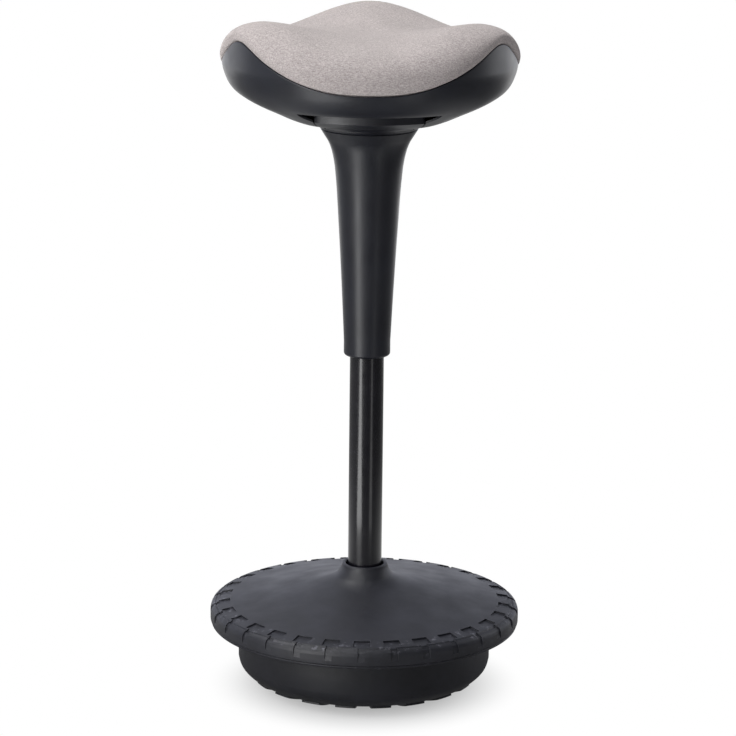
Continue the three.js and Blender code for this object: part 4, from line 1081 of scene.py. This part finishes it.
def makeFloor():
    clearAll()
    bpy.ops.mesh.primitive_plane_add(size=2 * studio["floorHalf"] * mm, location=(0, 0, 0))
    floor = bpy.context.object
    floor.name = "studio_floor"
    material = bpy.data.materials.new("paper_white_with_painted_reflection")
    material.use_nodes = True
    tree = material.node_tree
    tree.nodes.clear()
    # plain white away from the stool, and paper that takes its shadow near it
    place = addNode(tree, "ShaderNodeTexCoord").outputs["Object"]
    away = addNode(tree, "ShaderNodeVectorMath", {"operation": "LENGTH"}, {0: place}).outputs["Value"]
    across = addNode(tree, "ShaderNodeVectorMath", {"operation": "DOT_PRODUCT", 1: studio["litSide"]},
                     {0: place}).outputs["Value"]
    back = addNode(tree, "ShaderNodeSeparateXYZ", links={0: place}).outputs["Y"]
    share = {}
    for name, source, change in (
            ("shadow", away, "SMOOTHSTEP"), ("across", across, "SMOOTHSTEP"), ("ringStart", away, "LINEAR"),
            ("ringEnd", away, "LINEAR"), ("ringFront", back, "LINEAR"), ("far", back, "SMOOTHSTEP"),
            ("outer", away, "SMOOTHSTEP")):
        (near, far), (first, last) = studio[name]["between"], studio[name]["strength"]
        share[name] = addNode(tree, "ShaderNodeMapRange", {
            "interpolation_type": change, "From Min": near * mm, "From Max": far * mm,
            "To Min": first, "To Max": last}, {"Value": source}).outputs["Result"]
    for name, operation, one, other in (
            ("ring", "MINIMUM", "ringStart", "ringEnd"), ("near", "MULTIPLY", "ring", "ringFront"),
            ("lit", "ADD", "across", "near"), ("most", "ADD", "lit", "far"), ("all", "ADD", "most", "outer")):
        share[name] = addNode(tree, "ShaderNodeMath", {"operation": operation},
                              {0: share[one], 1: share[other]}).outputs[0]
    path = addNode(tree, "ShaderNodeLightPath")
    seen = addNode(tree, "ShaderNodeMath", {"operation": "MULTIPLY"},
                   {0: path.outputs["Is Camera Ray"], 1: share["shadow"]})
    paper = addNode(tree, "ShaderNodeBsdfDiffuse", {"Color": linear(studio["paper"])})
    glow = addNode(tree, "ShaderNodeEmission", {"Color": (1, 1, 1, 1), "Strength": 1})
    # painted reflection: for shiny faces the paper glows with these strengths instead of bouncing light
    mirrored = addNode(tree, "ShaderNodeEmission", {"Color": (1, 1, 1, 1)}, {"Strength": share["all"]})
    shown = addNode(tree, "ShaderNodeMixShader", links={
        0: seen.outputs[0], 1: paper.outputs["BSDF"], 2: glow.outputs["Emission"]})
    mix = addNode(tree, "ShaderNodeMixShader", links={
        0: path.outputs["Is Glossy Ray"], 1: shown.outputs["Shader"], 2: mirrored.outputs["Emission"]})
    output = addNode(tree, "ShaderNodeOutputMaterial", links={"Surface": mix.outputs["Shader"]})
    output.is_active_output = True
    floor.data.materials.append(material)


def makeLamp(name, kit):
    lamp = bpy.data.lights.new(name, "AREA")
    lamp.shape = "RECTANGLE"
    lamp.size, lamp.size_y = (side * mm for side in kit["size"])
    lamp.energy = kit["watts"]
    holder = bpy.data.objects.new(name, lamp)
    bpy.context.scene.collection.objects.link(holder)
    if "turn" in kit:
        aside, out = math.radians(kit["turn"]), kit["out"]
        holder.location = Vector((math.sin(aside) * out, -math.cos(aside) * out, 15)) * mm
        holder.rotation_euler = (math.pi, 0, aside)
    else:
        holder.location = Vector(kit["place"]) * mm
        ahead = Vector((0, 0, kit["aim"])) * mm - holder.location
        holder.rotation_euler = ahead.to_track_quat("-Z", "Y").to_euler()
    holder.visible_camera = False
    holder.visible_diffuse = not kit.get("mirrored", False)


def makeWorld():
    world = bpy.context.scene.world or bpy.data.worlds.new("studio")
    bpy.context.scene.world = world
    world.use_nodes = True
    tree = world.node_tree
    tree.nodes.clear()
    path = addNode(tree, "ShaderNodeLightPath")
    way = addNode(tree, "ShaderNodeTexCoord").outputs["Generated"]
    parts = addNode(tree, "ShaderNodeSeparateXYZ", links={0: way})
    # the studio as shiny faces see it: a lit backdrop behind, dim towards the camera and overhead
    shares = []
    for axis, name, change in (("Y", "roomDepth", "SMOOTHSTEP"), ("Z", "roomHeight", "LINEAR")):
        (near, far), (first, last) = studio[name]["between"], studio[name]["strength"]
        shares.append(addNode(tree, "ShaderNodeMapRange", {
            "interpolation_type": change, "From Min": near, "From Max": far, "To Min": first, "To Max": last},
            {"Value": parts.outputs[axis]}).outputs["Result"])
    both = addNode(tree, "ShaderNodeMath", {"operation": "MULTIPLY"}, {0: shares[0], 1: shares[1]})
    room = addNode(tree, "ShaderNodeBackground", {"Color": linear(studio["roomColour"])},
                   {"Strength": both.outputs[0]})
    lit = addNode(tree, "ShaderNodeBackground", {
        "Color": linear(studio["skyColour"]), "Strength": studio["sky"]})
    white = addNode(tree, "ShaderNodeBackground", {"Color": (1, 1, 1, 1), "Strength": 1})
    seen = addNode(tree, "ShaderNodeMath", {"operation": "MAXIMUM"},
                   {0: path.outputs["Is Camera Ray"], 1: path.outputs["Is Transmission Ray"]})
    shiny = addNode(tree, "ShaderNodeMixShader", links={
        0: path.outputs["Is Glossy Ray"], 1: lit.outputs["Background"], 2: room.outputs["Background"]})
    mix = addNode(tree, "ShaderNodeMixShader", links={
        0: seen.outputs[0], 1: shiny.outputs["Shader"], 2: white.outputs["Background"]})
    addNode(tree, "ShaderNodeOutputWorld", links={"Surface": mix.outputs["Shader"]})


makeFloor()
for lampName, lampKit in lamps.items():
    makeLamp(lampName + "_softbox", lampKit)
makeWorld()

view = {"lens": 150, "sensor": 36, "away": 3504, "high": 1239.6, "side": 1.4, "pitch": 13.65, "roll": 0.62}


def makeCamera():
    camera = bpy.data.cameras.new("photo_view")
    camera.lens, camera.sensor_width = view["lens"], view["sensor"]
    holder = bpy.data.objects.new("photo_view", camera)
    bpy.context.scene.collection.objects.link(holder)
    holder.location = Vector((view["side"], -view["away"], view["high"])) * mm
    tilt = Matrix.Rotation(math.radians(90 - view["pitch"]), 3, "X")
    roll = Matrix.Rotation(math.radians(view["roll"]), 3, "Z")
    holder.rotation_euler = (tilt @ roll).to_euler()
    camera.clip_end = 50
    bpy.context.scene.camera = holder


makeCamera()
bpy.context.scene.view_settings.view_transform = "Standard"
